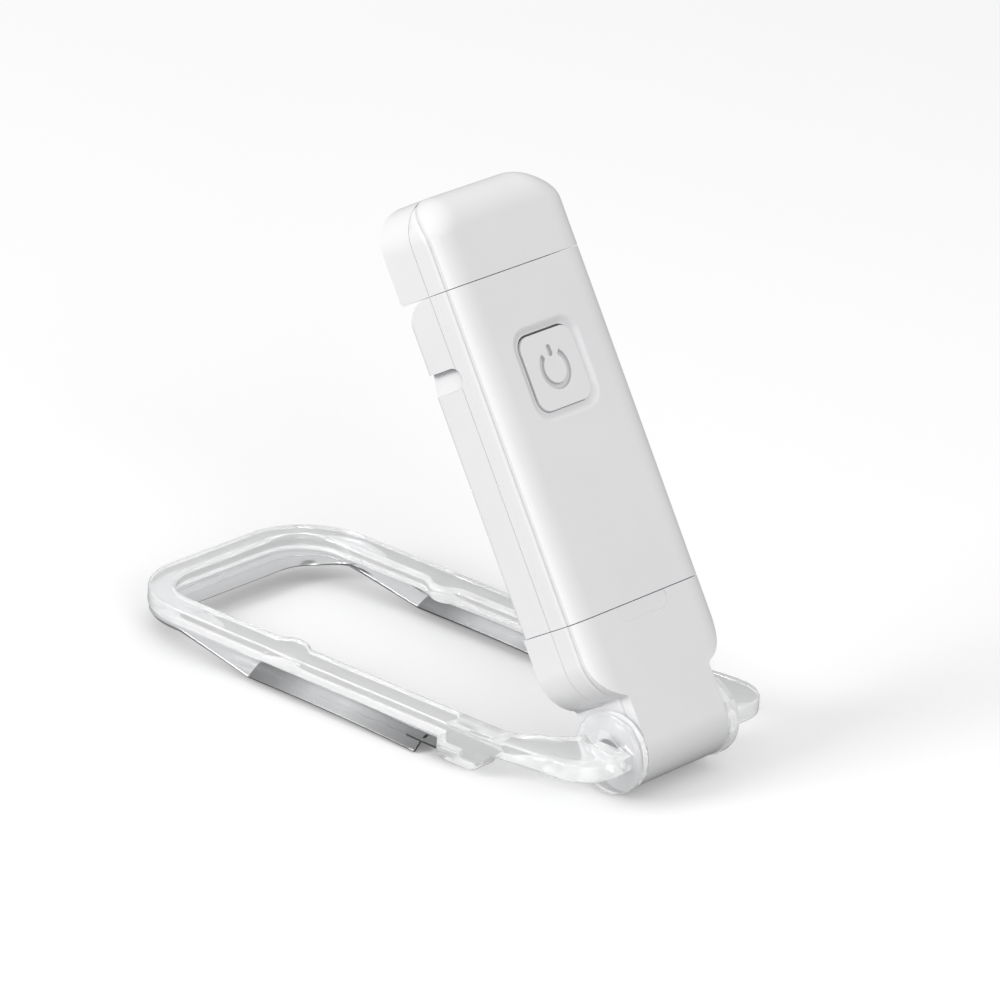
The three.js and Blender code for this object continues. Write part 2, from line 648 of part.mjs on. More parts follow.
function headLight() {
  const spots = [-6, 0, 6];
  const pane = plate(roundedRect(-9.2, 9.2, 68.3, 74.7, 1.2), 3.4, HEAD_REAR - 0.2);
  const rim = plate(roundedRect(-10.2, 10.2, 67.2, 75.2, 1.6), 3, HEAD_REAR - FLOOR - GAP);
  const board = plate(roundedRect(-10.2, 10.2, 67, 75, 1.2), 0.5, 1.2);
  const leds = spots.map((x, index) => {
    const chip = box(x - 1.75, x + 1.75, 1.35, 2.1, 70.1, 72.9);
    return named(`led_${index + 1}`, chip, finish(0xf5d869, 0.4));
  });
  const wells = join(...spots.map((x) => box(x - 2.3, x + 2.3, -FAR, FAR, 69.5, 73.5)));
  const reflector = plate(roundedRect(-10, 10, 67.4, 75, 1.4), 1.5, 2.7).subtract(wells);
  return [
    named('led_board', board, finish(0xf0f0ee, 0.5)),
    ...leds,
    named('led_reflector', reflector, whitePlastic()),
    named('head_lens', join(pane, rim), finish(0xeef1f2, 0.25)),
  ];
}

// ---------------------------------------------------------------- whole part

function lamp() {
  const group = new THREE.Group();
  group.add(...baseShells(), pocketLiner());
  group.add(...lampShells(), powerButton(), buttonRing(), ...usbPlug(), ...mainBoard(), ...battery());
  group.add(...tiltHinge(), ...headShells(), ...headLight());
  group.rotation.x = -LEAN;
  return group;
}

const readingLamp = new THREE.Group();
readingLamp.add(clip(), lamp());
readingLamp.position.set(0, -MIDDLE_Y, STAND_Z);

export default readingLamp;
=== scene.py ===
"""Clip-on reading lamp: the looks of its shells, clear clip frame, sprung steel jaw and inner parts.

Shapes are drawn in millimetres in the clip's frame or in the lamp's own leaning frame (x across,
y from front to rear, z from the hinge to the head), and are put in place in metres.
"""

import json
import math

import bmesh
import bpy
from mathutils import Matrix, Vector


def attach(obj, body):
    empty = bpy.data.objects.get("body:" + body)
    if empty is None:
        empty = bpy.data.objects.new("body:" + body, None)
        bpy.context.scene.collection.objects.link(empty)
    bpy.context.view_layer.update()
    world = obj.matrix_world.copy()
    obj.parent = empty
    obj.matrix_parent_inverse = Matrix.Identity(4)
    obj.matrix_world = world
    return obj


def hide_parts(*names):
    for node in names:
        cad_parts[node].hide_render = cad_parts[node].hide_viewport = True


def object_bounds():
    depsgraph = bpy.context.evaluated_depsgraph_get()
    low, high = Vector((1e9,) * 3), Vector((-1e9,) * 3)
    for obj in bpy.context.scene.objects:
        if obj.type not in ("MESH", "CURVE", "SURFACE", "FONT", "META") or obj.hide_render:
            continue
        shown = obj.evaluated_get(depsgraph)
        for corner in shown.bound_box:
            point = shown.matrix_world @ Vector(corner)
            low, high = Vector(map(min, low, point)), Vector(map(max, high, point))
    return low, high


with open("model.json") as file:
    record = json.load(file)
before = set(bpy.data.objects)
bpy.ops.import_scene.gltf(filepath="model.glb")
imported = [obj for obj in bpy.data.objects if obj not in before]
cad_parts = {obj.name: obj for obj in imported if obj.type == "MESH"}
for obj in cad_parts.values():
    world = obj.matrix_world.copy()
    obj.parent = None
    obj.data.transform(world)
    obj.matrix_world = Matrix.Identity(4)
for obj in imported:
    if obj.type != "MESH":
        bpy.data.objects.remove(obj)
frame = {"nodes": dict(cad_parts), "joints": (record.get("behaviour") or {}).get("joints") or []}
cad_lo, cad_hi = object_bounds()

# ---------------------------------------------------------------- places and driving sizes

MM = 0.001
FAR = 60.0  # reach of a cutting block past the piece it cuts

joints = {joint["name"]: joint for joint in frame["joints"]}
fold_axis = Vector(joints["clip_fold"]["pos_m"])
up_the_lamp = Vector(joints["plug_pull"]["axis"])
CLIP = Matrix.Translation(fold_axis)
LAMP = CLIP @ Matrix.Rotation(-math.atan2(up_the_lamp.y, up_the_lamp.z), 4, "X")


def span(node, place):
    """Lowest and highest corner of a CAD node in millimetres, in the frame of a place."""
    back = place.inverted()
    points = [back @ vertex.co / MM for vertex in frame["nodes"][node].data.vertices]
    lowest = Vector([min(point[i] for point in points) for i in range(3)])
    highest = Vector([max(point[i] for point in points) for i in range(3)])
    return lowest, highest


cover_lo, cover_hi = span("front_cover", LAMP)
shell_lo, shell_hi = span("rear_shell", LAMP)
middle_lo, middle_hi = span("mid_housing", LAMP)
base_hi = span("base_front_shell", LAMP)[1]
head_hi = span("head_rear_housing", LAMP)[1]
brow_lo = span("head_front_cover", LAMP)[0]
button_lo, button_hi = span("power_button", LAMP)
lens_hi = span("head_lens", LAMP)[1]
tilt_lo, tilt_hi = span("tilt_pin", LAMP)
loop_hi = span("clip_frame", CLIP)[1]

HALF_SEAM = 0.045  # half the open width of a seam across the lamp
HALF_LINE = 0.03  # half the open width of a seam along its sides
HALF = cover_hi.x
FRONT = cover_lo.y
REAR = shell_hi.y
HEAD_REAR = head_hi.y
HEAD_TOP = head_hi.z
COVER_SEAM = (cover_hi.y + middle_lo.y) / 2
MIDDLE_SEAM = (middle_hi.y + shell_lo.y) / 2
BASE_SEAM = (base_hi.z + cover_lo.z) / 2
HEAD_SEAM = (cover_hi.z + brow_lo.z) / 2
TILT_Y = (tilt_lo.y + tilt_hi.y) / 2
TILT_Z = (tilt_lo.z + tilt_hi.z) / 2
BUTTON_Z = (button_lo.z + button_hi.z) / 2

WALL = 1.4
TUCK = 0.36  # how far the sides draw in just behind the front edge
TUCK_DEPTH = 0.85
CROWN_WIDE = 3.9  # band along a front edge that falls away
CROWN_FALL = 1.14
CROWN_POWER = 2.3
REAR_EDGE = 0.7
REAR_CORNER = 4.4  # rounded top rear corner under the head
HEAD_CORNER = 5.75
HEAD_BROW = 5.06
SWEEP_Z = 70.6  # height where the rear edge of the head's cover starts to sweep back
SWEEP = 3.55  # how far it has gone back at the top of the head
DRUM_RADIUS = 3.4
DRUM_HALF = 3.5
DRUM_GAP = 0.25  # clearance round the head hinge drum
ARM_REAR = 3.3

# ---------------------------------------------------------------- mesh tools


def new_piece(name, points, faces):
    mesh = bpy.data.meshes.new(name)
    mesh.from_pydata(points, [], faces)
    piece = bpy.data.objects.new(name, mesh)
    bpy.context.scene.collection.objects.link(piece)
    return piece


def clean(piece, gap=0.003):
    """Merges doubled points and turns every face outwards."""
    work = bmesh.new()
    work.from_mesh(piece.data)
    bmesh.ops.remove_doubles(work, verts=work.verts, dist=gap)
    bmesh.ops.dissolve_degenerate(work, edges=work.edges, dist=gap)
    bmesh.ops.recalc_face_normals(work, faces=work.faces)
    work.to_mesh(piece.data)
    work.free()
    return piece


def skin(rings, name="tool", looped=False):
    """A closed surface over rings of points; looped joins the last ring to the first."""
    count = len(rings[0])
    points = [point for ring in rings for point in ring]
    steps = len(rings) if looped else len(rings) - 1
    faces = []
    for step in range(steps):
        here = step * count
        there = (step + 1) % len(rings) * count
        for i in range(count):
            j = (i + 1) % count
            faces.append((here + i, here + j, there + j, there + i))
    if not looped:
        faces.append(tuple(reversed(range(count))))
        faces.append(tuple(range(steps * count, (steps + 1) * count)))
    return clean(new_piece(name, points, faces))


def across_x(outline, x):
    return [(x, a, b) for a, b in outline]


def across_y(outline, y):
    return [(a, y, b) for a, b in outline]


def across_z(outline, z):
    return [(a, b, z) for a, b in outline]


def prism(outline, across, low, high, name="tool"):
    return skin([across(outline, low), across(outline, high)], name)


def block(x0, x1, y0, y1, z0, z1):
    return prism([(x0, y0), (x1, y0), (x1, y1), (x0, y1)], across_z, z0, z1)


def arc(a, b, radius, start, end, steps=10):
    turns = [math.radians(start + (end - start) * i / steps) for i in range(steps + 1)]
    return [(a + radius * math.cos(t), b + radius * math.sin(t)) for t in turns]


def rounded(a0, a1, b0, b1, radius, steps=8):
    return (
        arc(a1 - radius, b0 + radius, radius, -90, 0, steps)
        + arc(a1 - radius, b1 - radius, radius, 0, 90, steps)
        + arc(a0 + radius, b1 - radius, radius, 90, 180, steps)
        + arc(a0 + radius, b0 + radius, radius, 180, 270, steps)
    )


def square(side, corner, z, steps=10):
    return rounded(-side / 2, side / 2, z - side / 2, z + side / 2, corner, steps)


def rod(radius, x0, x1, y, z, sides=64):
    ring = arc(y, z, radius, 0, 360 * (sides - 1) / sides, sides - 1)
    return prism(ring, across_x, x0, x1)


def settle(piece):
    """Turns what a piece's modifiers make into its own mesh."""
    seen = piece.evaluated_get(bpy.context.evaluated_depsgraph_get())
    mesh = bpy.data.meshes.new_from_object(seen)
    piece.modifiers.clear()
    piece.data = mesh
    return piece


def combine(piece, tools, operation):
    for tool in tools:
        modifier = piece.modifiers.new("combine", "BOOLEAN")
        modifier.operation = operation
        modifier.solver = "EXACT"
        modifier.object = tool
        settle(piece)
        bpy.data.objects.remove(tool)
    return clean(piece)


def carve(piece, *tools):
    return combine(piece, tools, "DIFFERENCE")


def fuse(piece, *tools):
    return combine(piece, tools, "UNION")


def trim(piece, *tools):
    return combine(piece, tools, "INTERSECT")


def round_edges(piece, width, segments=3, angle=30):
    """Rounds the sharp edges."""
    bevel = piece.modifiers.new("edges", "BEVEL")
    bevel.width = width
    bevel.segments = segments
    bevel.limit_method = "ANGLE"
    bevel.angle_limit = math.radians(angle)
    bevel.use_clamp_overlap = True
    bevel.miter_outer = "MITER_ARC"
    return piece


def finish_piece(piece, name, place, body, material, nodes=(), edges=0.12, segments=3, angle=30):
    """Names, places, rounds and paints a piece, and hands it to its body."""
    piece.name = name
    piece.data.name = name
    piece.data.transform(place @ Matrix.Scale(MM, 4))
    for face in piece.data.polygons:
        face.use_smooth = True
    if edges:
        round_edges(piece, edges * MM, segments, angle)
        even = piece.modifiers.new("even_shading", "WEIGHTED_NORMAL")
        even.weight = 60
    piece.data.materials.clear()
    piece.data.materials.append(material)
    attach(piece, body)
    if nodes:
        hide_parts(*nodes)
    return piece


# ---------------------------------------------------------------- shared surface effects


def shader_group(name, inputs, outputs):
    """A node group with named sockets, each given as (name, socket type, value)."""
    tree = bpy.data.node_groups.new(name, "ShaderNodeTree")
    for label, kind, value in inputs:
        socket = tree.interface.new_socket(name=label, in_out="INPUT", socket_type=kind)
        socket.default_value = value
    for label, kind in outputs:
        tree.interface.new_socket(name=label, in_out="OUTPUT", socket_type=kind)
    return tree, tree.nodes.new("NodeGroupInput"), tree.nodes.new("NodeGroupOutput")


def add(tree, kind, **values):
    node = tree.nodes.new(kind)
    for name, value in values.items():
        setattr(node, name, value)
    return node


def fill(node, **values):
    for name, value in values.items():
        node.inputs[name.replace("_", " ")].default_value = value
    return node


def noise(tree, where, scale, detail=3.0, roughness=0.5):
    node = fill(add(tree, "ShaderNodeTexNoise"), Detail=detail, Roughness=roughness)
    tree.links.new(where, node.inputs["Vector"])
    if isinstance(scale, (int, float)):
        node.inputs["Scale"].default_value = scale
    else:
        tree.links.new(scale, node.inputs["Scale"])
    return node.outputs["Fac"]


def mapped(tree, value, low, high, out_low, out_high):
    """Maps a value from one range to another; the last two may be sockets."""
    node = fill(add(tree, "ShaderNodeMapRange"), From_Min=low, From_Max=high)
    tree.links.new(value, node.inputs["Value"])
    for name, end in (("To Min", out_low), ("To Max", out_high)):
        if isinstance(end, (int, float)):
            node.inputs[name].default_value = end
        else:
            tree.links.new(end, node.inputs[name])
    return node.outputs["Result"]


def mixed(tree, factor, first, second):
    node = add(tree, "ShaderNodeMix", data_type="RGBA")
    tree.links.new(factor, node.inputs["Factor"])
    for socket, source in ((node.inputs[6], first), (node.inputs[7], second)):
        if isinstance(source, tuple):
            socket.default_value = source
        else:
            tree.links.new(source, socket)
    return node.outputs[2]


def maths(tree, operation, first, second):
    node = add(tree, "ShaderNodeMath", operation=operation)
    for socket, source in zip(node.inputs, (first, second)):
        if isinstance(source, (int, float)):
            socket.default_value = source
        else:
            tree.links.new(source, socket)
    return node.outputs[0]


def moulded_surface_group():
    """Moulded plastic: a faint cloudiness of tone, uneven gloss and a fine grain."""
    tree, given, made = shader_group(
        "moulded_surface",
        [
            ("Tint", "NodeSocketColor", (0.9, 0.9, 0.9, 1)),
            ("Shade", "NodeSocketColor", (0.8, 0.8, 0.8, 1)),
            ("Cloud Scale", "NodeSocketFloat", 60.0),
            ("Grain Scale", "NodeSocketFloat", 9000.0),
            ("Gloss Low", "NodeSocketFloat", 0.25),
            ("Gloss High", "NodeSocketFloat", 0.35),
        ],
        [("Color", "NodeSocketColor"), ("Roughness", "NodeSocketFloat"), ("Height", "NodeSocketFloat")],
    )
    where = add(tree, "ShaderNodeTexCoord").outputs["Object"]
    cloud = noise(tree, where, given.outputs["Cloud Scale"], 4.0)
    grain = noise(tree, where, given.outputs["Grain Scale"], 2.0)
    smear = noise(tree, where, 240.0, 5.0, 0.6)
    share = mapped(tree, cloud, 0.35, 0.7, 0.0, 1.0)
    tone = mixed(tree, share, given.outputs["Tint"], given.outputs["Shade"])
    tree.links.new(tone, made.inputs["Color"])
    gloss = mapped(tree, smear, 0.3, 0.75, given.outputs["Gloss Low"], given.outputs["Gloss High"])
    tree.links.new(gloss, made.inputs["Roughness"])
    tree.links.new(grain, made.inputs["Height"])
    return tree


def crevice_group():
    """Painted shade: a mask from ambient occlusion, strong in narrow gaps and inner corners, where the
    colour is darkened as if in shade.
    """
    tree, given, made = shader_group(
        "crevice_shade",
        [("Reach", "NodeSocketFloat", 0.0012), ("Strength", "NodeSocketFloat", 1.0)],
        [("Mask", "NodeSocketFloat")],
    )
    shade = add(tree, "ShaderNodeAmbientOcclusion", samples=6)
    tree.links.new(given.outputs["Reach"], shade.inputs["Distance"])
    closed = maths(tree, "SUBTRACT", 1.0, shade.outputs["AO"])
    tree.links.new(maths(tree, "MULTIPLY", closed, given.outputs["Strength"]), made.inputs["Mask"])
    return tree


def drawn_streaks_group():
    """Drawn or rolled metal: fine streaks along one direction, in tone, gloss and height."""
    tree, given, made = shader_group(
        "drawn_streaks",
        [
            ("Bright", "NodeSocketColor", (0.7, 0.7, 0.7, 1)),
            ("Dull", "NodeSocketColor", (0.6, 0.6, 0.6, 1)),
            ("Stretch", "NodeSocketVector", (9000.0, 300.0, 9000.0)),
            ("Gloss Low", "NodeSocketFloat", 0.12),
            ("Gloss High", "NodeSocketFloat", 0.22),
        ],
        [("Color", "NodeSocketColor"), ("Roughness", "NodeSocketFloat"), ("Height", "NodeSocketFloat")],
    )
    where = add(tree, "ShaderNodeTexCoord").outputs["Object"]
    scaled = add(tree, "ShaderNodeVectorMath", operation="MULTIPLY")
    tree.links.new(where, scaled.inputs[0])
    tree.links.new(given.outputs["Stretch"], scaled.inputs[1])
    streak = noise(tree, scaled.outputs[0], 1.0, 4.0, 0.6)
    cloud = noise(tree, where, 180.0, 3.0)
    share = mapped(tree, streak, 0.3, 0.7, 0.0, 1.0)
    tone = mixed(tree, share, given.outputs["Bright"], given.outputs["Dull"])
    tree.links.new(tone, made.inputs["Color"])
    blend = maths(tree, "MULTIPLY", maths(tree, "ADD", streak, cloud), 0.5)
    gloss = mapped(tree, blend, 0.35, 0.65, given.outputs["Gloss Low"], given.outputs["Gloss High"])
    tree.links.new(gloss, made.inputs["Roughness"])
    tree.links.new(streak, made.inputs["Height"])
    return tree


MOULDED = moulded_surface_group()
CREVICE_SHADE = crevice_group()
STREAKS = drawn_streaks_group()


def place_group(tree, group, **values):
    node = add(tree, "ShaderNodeGroup", node_tree=group)
    return fill(node, **values)


def start_material(name, **settings):
    """A material with one Principled shader; constants go straight on its sockets."""
    material = bpy.data.materials.new(name)
    material.use_nodes = True
    tree = material.node_tree
    shader = tree.nodes["Principled BSDF"]
    for label, value in settings.items():
        shader.inputs[label.replace("_", " ")].default_value = value
    return material, tree, shader


def bump(tree, shader, height, strength, distance):
    node = fill(add(tree, "ShaderNodeBump"), Strength=strength, Distance=distance)
    tree.links.new(height, node.inputs["Height"])
    tree.links.new(node.outputs["Normal"], shader.inputs["Normal"])


def plastic(name, tint, shade, gloss, grain=9000.0, relief=0.15, crevice_shade=None, **settings):
    """A moulded finish; its crevice colour is painted shade, mixed in by ambient occlusion where gaps and
    inner corners are narrow.
    """
    material, tree, shader = start_material(name, **settings)
    surface = place_group(
        tree,
        MOULDED,
        Tint=(*tint, 1),
        Shade=(*shade, 1),
        Grain_Scale=grain,
        Gloss_Low=gloss[0],
        Gloss_High=gloss[1],
    )
    colour = surface.outputs["Color"]
    if crevice_shade:
        # painted shade: darkens the colour in narrow gaps and inner corners
        gap_shade = place_group(tree, CREVICE_SHADE)
        colour = mixed(tree, gap_shade.outputs["Mask"], colour, (*crevice_shade, 1))
    tree.links.new(colour, shader.inputs["Base Color"])
    tree.links.new(surface.outputs["Roughness"], shader.inputs["Roughness"])
    bump(tree, shader, surface.outputs["Height"], relief, 0.00001)
    return material


def metal(name, bright, dull, gloss, stretch=(9000.0, 300.0, 9000.0), relief=0.2, **settings):
    material, tree, shader = start_material(name, Metallic=1.0, **settings)
    surface = place_group(
        tree,
        STREAKS,
        Bright=(*bright, 1),
        Dull=(*dull, 1),
        Stretch=stretch,
        Gloss_Low=gloss[0],
        Gloss_High=gloss[1],
    )
    tree.links.new(surface.outputs["Color"], shader.inputs["Base Color"])
    tree.links.new(surface.outputs["Roughness"], shader.inputs["Roughness"])
    bump(tree, shader, surface.outputs["Height"], relief, 0.000005)
    return material


def clear_finish():
    """Clear moulding: a little milky, with painted shade that greys it where it turns away from view, and a
    faint painted glow that lifts its brightness.
    """
    # painted glow: a faint white emission on a part that is no lamp
    material, tree, shader = start_material(
        "clear_frame", Transmission_Weight=0.78, IOR=1.47, Emission_Strength=0.1)
    shader.inputs["Emission Color"].default_value = (1, 1, 1, 1)
    surface = place_group(
        tree,
        MOULDED,
        Tint=(0.97, 0.975, 0.98, 1),
        Shade=(0.94, 0.945, 0.95, 1),
        Grain_Scale=700.0,
        Gloss_Low=0.02,
        Gloss_High=0.07,
    )
    # painted shade: greyer towards the silhouettes, where the surface turns away from view
    facing = fill(add(tree, "ShaderNodeLayerWeight"), Blend=0.5).outputs["Facing"]
    edge_shade = mapped(tree, facing, 0.6, 1.0, 0.0, 0.9)
    tone = mixed(tree, edge_shade, surface.outputs["Color"], (0.3, 0.3, 0.31, 1))
    tree.links.new(tone, shader.inputs["Base Color"])
    tree.links.new(surface.outputs["Roughness"], shader.inputs["Roughness"])
    bump(tree, shader, surface.outputs["Height"], 0.12, 0.00001)
    return material


def spring_finish():
    """Rolled steel with painted reflection: a dark-light-dark band along each leg, darker towards the fold
    and towards the bosses, brighter in between.
    """
    material, tree, shader = start_material("spring_steel", Metallic=1.0)
    surface = place_group(
        tree,
        STREAKS,
        Bright=(0.86, 0.865, 0.875, 1),
        Dull=(0.8, 0.805, 0.815, 1),
        Stretch=(9000.0, 300.0, 9000.0),
        Gloss_Low=0.16,
        Gloss_High=0.26,
    )
    # painted reflection: tone along the legs, multiplied into the streaked colour
    parts = add(tree, "ShaderNodeSeparateXYZ")
    tree.links.new(add(tree, "ShaderNodeTexCoord").outputs["Object"], parts.inputs[0])
    along = mapped(tree, parts.outputs["Y"], fold_axis.y + 0.026, fold_axis.y + 0.0565, 0.0, 1.0)
    painted_reflection = add(tree, "ShaderNodeValToRGB")
    marks = painted_reflection.color_ramp.elements
    marks[0].position = 0.0
    marks[0].color = (0.38, 0.38, 0.38, 1)
    marks[1].position = 0.995
    marks[1].color = (0.36, 0.36, 0.36, 1)
    for position, tone in ((0.22, 0.62), (0.45, 1.0), (0.65, 0.95), (0.85, 0.5), (1.0, 1.0)):
        marks.new(position).color = (tone, tone, tone, 1)
    tree.links.new(along, painted_reflection.inputs[0])
    shaded = add(tree, "ShaderNodeMix", data_type="RGBA", blend_type="MULTIPLY")
    shaded.inputs["Factor"].default_value = 1.0
    tree.links.new(surface.outputs["Color"], shaded.inputs[6])
    tree.links.new(painted_reflection.outputs[0], shaded.inputs[7])
    tree.links.new(shaded.outputs[2], shader.inputs["Base Color"])
    tree.links.new(surface.outputs["Roughness"], shader.inputs["Roughness"])
    bump(tree, shader, surface.outputs["Height"], 0.2, 0.000005)
    return material


def board_finish(name, mask, shade, track):
    """A circuit board: solder mask over faint copper tracks on a square raster."""
    material, tree, shader = start_material(name, Coat_Weight=0.3, Coat_Roughness=0.2)
    where = add(tree, "ShaderNodeTexCoord").outputs["Object"]
    cells = fill(
        add(tree, "ShaderNodeTexVoronoi", distance="CHEBYCHEV", feature="F1"), Scale=420.0, Randomness=0.6)
    tree.links.new(where, cells.inputs["Vector"])
    lines = mapped(tree, cells.outputs["Distance"], 0.30, 0.36, 0.0, 1.0)
    surface = place_group(tree, MOULDED, Tint=(*mask, 1), Shade=(*shade, 1), Gloss_Low=0.3, Gloss_High=0.45)
    tree.links.new(mixed(tree, lines, surface.outputs["Color"], (*track, 1)), shader.inputs["Base Color"])
    tree.links.new(surface.outputs["Roughness"], shader.inputs["Roughness"])
    bump(tree, shader, lines, 0.4, 0.00003)
    return material


def lens_finish():
    """Frosted diffuser with a fine field of round lenslets."""
    material, tree, shader = start_material("frosted_lens", Transmission_Weight=0.55, IOR=1.49)
    where = add(tree, "ShaderNodeTexCoord").outputs["Object"]
    cells = fill(add(tree, "ShaderNodeTexVoronoi", feature="SMOOTH_F1"), Scale=1600.0, Randomness=0.15)
    tree.links.new(where, cells.inputs["Vector"])
    surface = place_group(
        tree, MOULDED, Tint=(0.93, 0.93, 0.9, 1), Shade=(0.88, 0.88, 0.85, 1),
        Gloss_Low=0.3, Gloss_High=0.42)
    tree.links.new(surface.outputs["Color"], shader.inputs["Base Color"])
    tree.links.new(surface.outputs["Roughness"], shader.inputs["Roughness"])
    bump(tree, shader, cells.outputs["Distance"], 0.5, 0.0001)
    return material


WHITE = (0.86, 0.86, 0.865)
WHITE_SHADE = (0.835, 0.835, 0.845)

# the crevice colours below are painted shade for seams, gaps and inner corners
shell_white = plastic(
    "shell_white", WHITE, WHITE_SHADE, (0.3, 0.33), crevice_shade=(0.56, 0.56, 0.575), Specular_IOR_Level=0.45)
button_white = plastic(
    "button_white", (0.87, 0.87, 0.875), (0.85, 0.85, 0.86), (0.34, 0.37), crevice_shade=(0.3, 0.3, 0.31))
clear_frame = clear_finish()
spring_steel = spring_finish()
plated_steel = metal(
    "plated_steel", (0.68, 0.68, 0.69), (0.58, 0.58, 0.6), (0.16, 0.28), (400.0, 12000.0, 12000.0))
gold_flash = metal("gold_flash", (0.85, 0.64, 0.28), (0.76, 0.54, 0.2), (0.18, 0.3))
battery_foil = metal(
    "battery_foil", (0.66, 0.67, 0.7), (0.56, 0.57, 0.6), (0.3, 0.45), (900.0, 900.0, 200.0), 0.5)
pale_silicone = plastic("pale_silicone", (0.7, 0.7, 0.69), (0.62, 0.62, 0.61), (0.6, 0.75), 5000.0, 0.4)
black_package = plastic(
    "black_package", (0.018, 0.019, 0.022), (0.03, 0.031, 0.034), (0.45, 0.6), 7000.0, 0.4)
lead_red = plastic("lead_red", (0.45, 0.02, 0.02), (0.36, 0.015, 0.015), (0.35, 0.5))
phosphor = plastic("phosphor", (0.9, 0.68, 0.2), (0.84, 0.6, 0.15), (0.35, 0.5), 6000.0, 0.4)
socket_white = plastic("socket_white", (0.85, 0.85, 0.83), (0.78, 0.78, 0.76), (0.4, 0.5))
reflector_white = plastic(
    "reflector_white", (0.92, 0.92, 0.92), (0.9, 0.9, 0.9), (0.12, 0.2), Coat_Weight=0.4)
green_board = board_finish("green_board", (0.02, 0.16, 0.07), (0.015, 0.13, 0.055), (0.03, 0.22, 0.09))
pale_board = board_finish("pale_board", (0.84, 0.84, 0.82), (0.8, 0.8, 0.78), (0.74, 0.74, 0.72))
frosted_lens = lens_finish()

# ---------------------------------------------------------------- lamp shells


def crown_line(half):
    """The front of a shell from its left edge to its right: a flat with a falling band each side."""
    steps = 14
    band = []
    for i in range(steps):
        share = 1 - i / steps
        band.append((half - CROWN_WIDE * (1 - share), FRONT + CROWN_FALL * share**CROWN_POWER))
    return [(-x, y) for x, y in band] + list(reversed(band))


def crowned_bar(rear, bottom, top):
    """A bar up the lamp with the crowned front, square at the rear."""
    return prism(crown_line(HALF) + [(HALF, rear), (-HALF, rear)], across_z, bottom, top)


def lamp_side_profile(bottom, top):
    corner = REAR_CORNER
    rounding = arc(REAR - corner, top - corner, corner, 0, 90, 24)
    return [(FRONT - 1, bottom), (REAR, bottom), *rounding, (FRONT - 1, top)]


def notch_tool(side):
    """Cuts the side notch that the clip frame's bump drops into: deep under its upper ledge."""
    middle = 53.62
    half_width = 1.525
    front = -1.0
    outline = [(FAR, middle - half_width), (FAR, middle + half_width)]
    outline += arc(front + half_width, middle, half_width, 90, 270, 20)
    floor = []
    for y, z in outline:
        share = (z - middle + half_width) / (2 * half_width)
        depth = 0.3 + 0.8 * math.sin(0.5 * math.pi * share)
        floor.append((side * (HALF - depth), y, z))
    return skin([across_x(outline, side * FAR), floor])


def hollow_tool():
    return block(WALL - HALF, HALF - WALL, FRONT + 1.3, REAR - 1.3, BASE_SEAM + WALL, HEAD_SEAM - WALL)


def plug_hole_tool():
    return prism(rounded(-6.3, 6.3, -2.75, 2.35, 0.6), across_z, BASE_SEAM - 1, BASE_SEAM + WALL + 1)


def drum_space_tool():
    return rod(DRUM_RADIUS + DRUM_GAP, -DRUM_HALF - DRUM_GAP, DRUM_HALF + DRUM_GAP, TILT_Y, TILT_Z)


LAMP_BOTTOM = BASE_SEAM + HALF_SEAM
LAMP_TOP = HEAD_SEAM - HALF_SEAM


def button_dish_tool():
    """The dish round the button: eased over its rim and sloping to the button's edge."""
    slope = [(13.4, -0.02), (13.2, 0.01), (12.9, 0.06), (12.5, 0.17),
             (11.8, 0.42), (11.4, 0.52), (11.1, 0.56)]
    return skin([
        across_y(square(side, 2.0 + (side - 10.5) / 2.6, BUTTON_Z), FRONT + fall) for side, fall in slope])


def front_cover():
    cover = crowned_bar(COVER_SEAM - HALF_LINE, LAMP_BOTTOM, LAMP_TOP)
    hole = prism(rounded(-5.29, 5.31, BUTTON_Z - 5.29, BUTTON_Z + 5.5, 2.05), across_y, FRONT - 1, 0)
    carve(cover, hollow_tool(), button_dish_tool(), hole)
    return finish_piece(
        cover, "lamp_front_cover", LAMP, "lamp", shell_white, ["front_cover"], edges=0.18)


def tuck_steps():
    """How the sides come out again behind the front edge: inset and distance behind the edge."""
    return [(TUCK * (1 - i / 5) ** 2, TUCK_DEPTH * i / 5) for i in range(6)]


def mid_housing():
    front = COVER_SEAM + HALF_LINE
    line = -1.35  # fine parting line along the side
    side = [(HALF - inset, front + depth) for inset, depth in tuck_steps()]
    side += [(HALF, line - 0.08), (HALF - 0.05, line), (HALF, line + 0.08), (HALF, MIDDLE_SEAM - HALF_LINE)]
    section = side + [(-x, y) for x, y in reversed(side)]
    housing = prism(section, across_z, LAMP_BOTTOM, LAMP_TOP)
    carve(housing, hollow_tool(), plug_hole_tool(), drum_space_tool(), notch_tool(-1), notch_tool(1))
    return finish_piece(
        housing, "lamp_mid_housing", LAMP, "lamp", shell_white, ["mid_housing"],
        edges=0.06, segments=2)


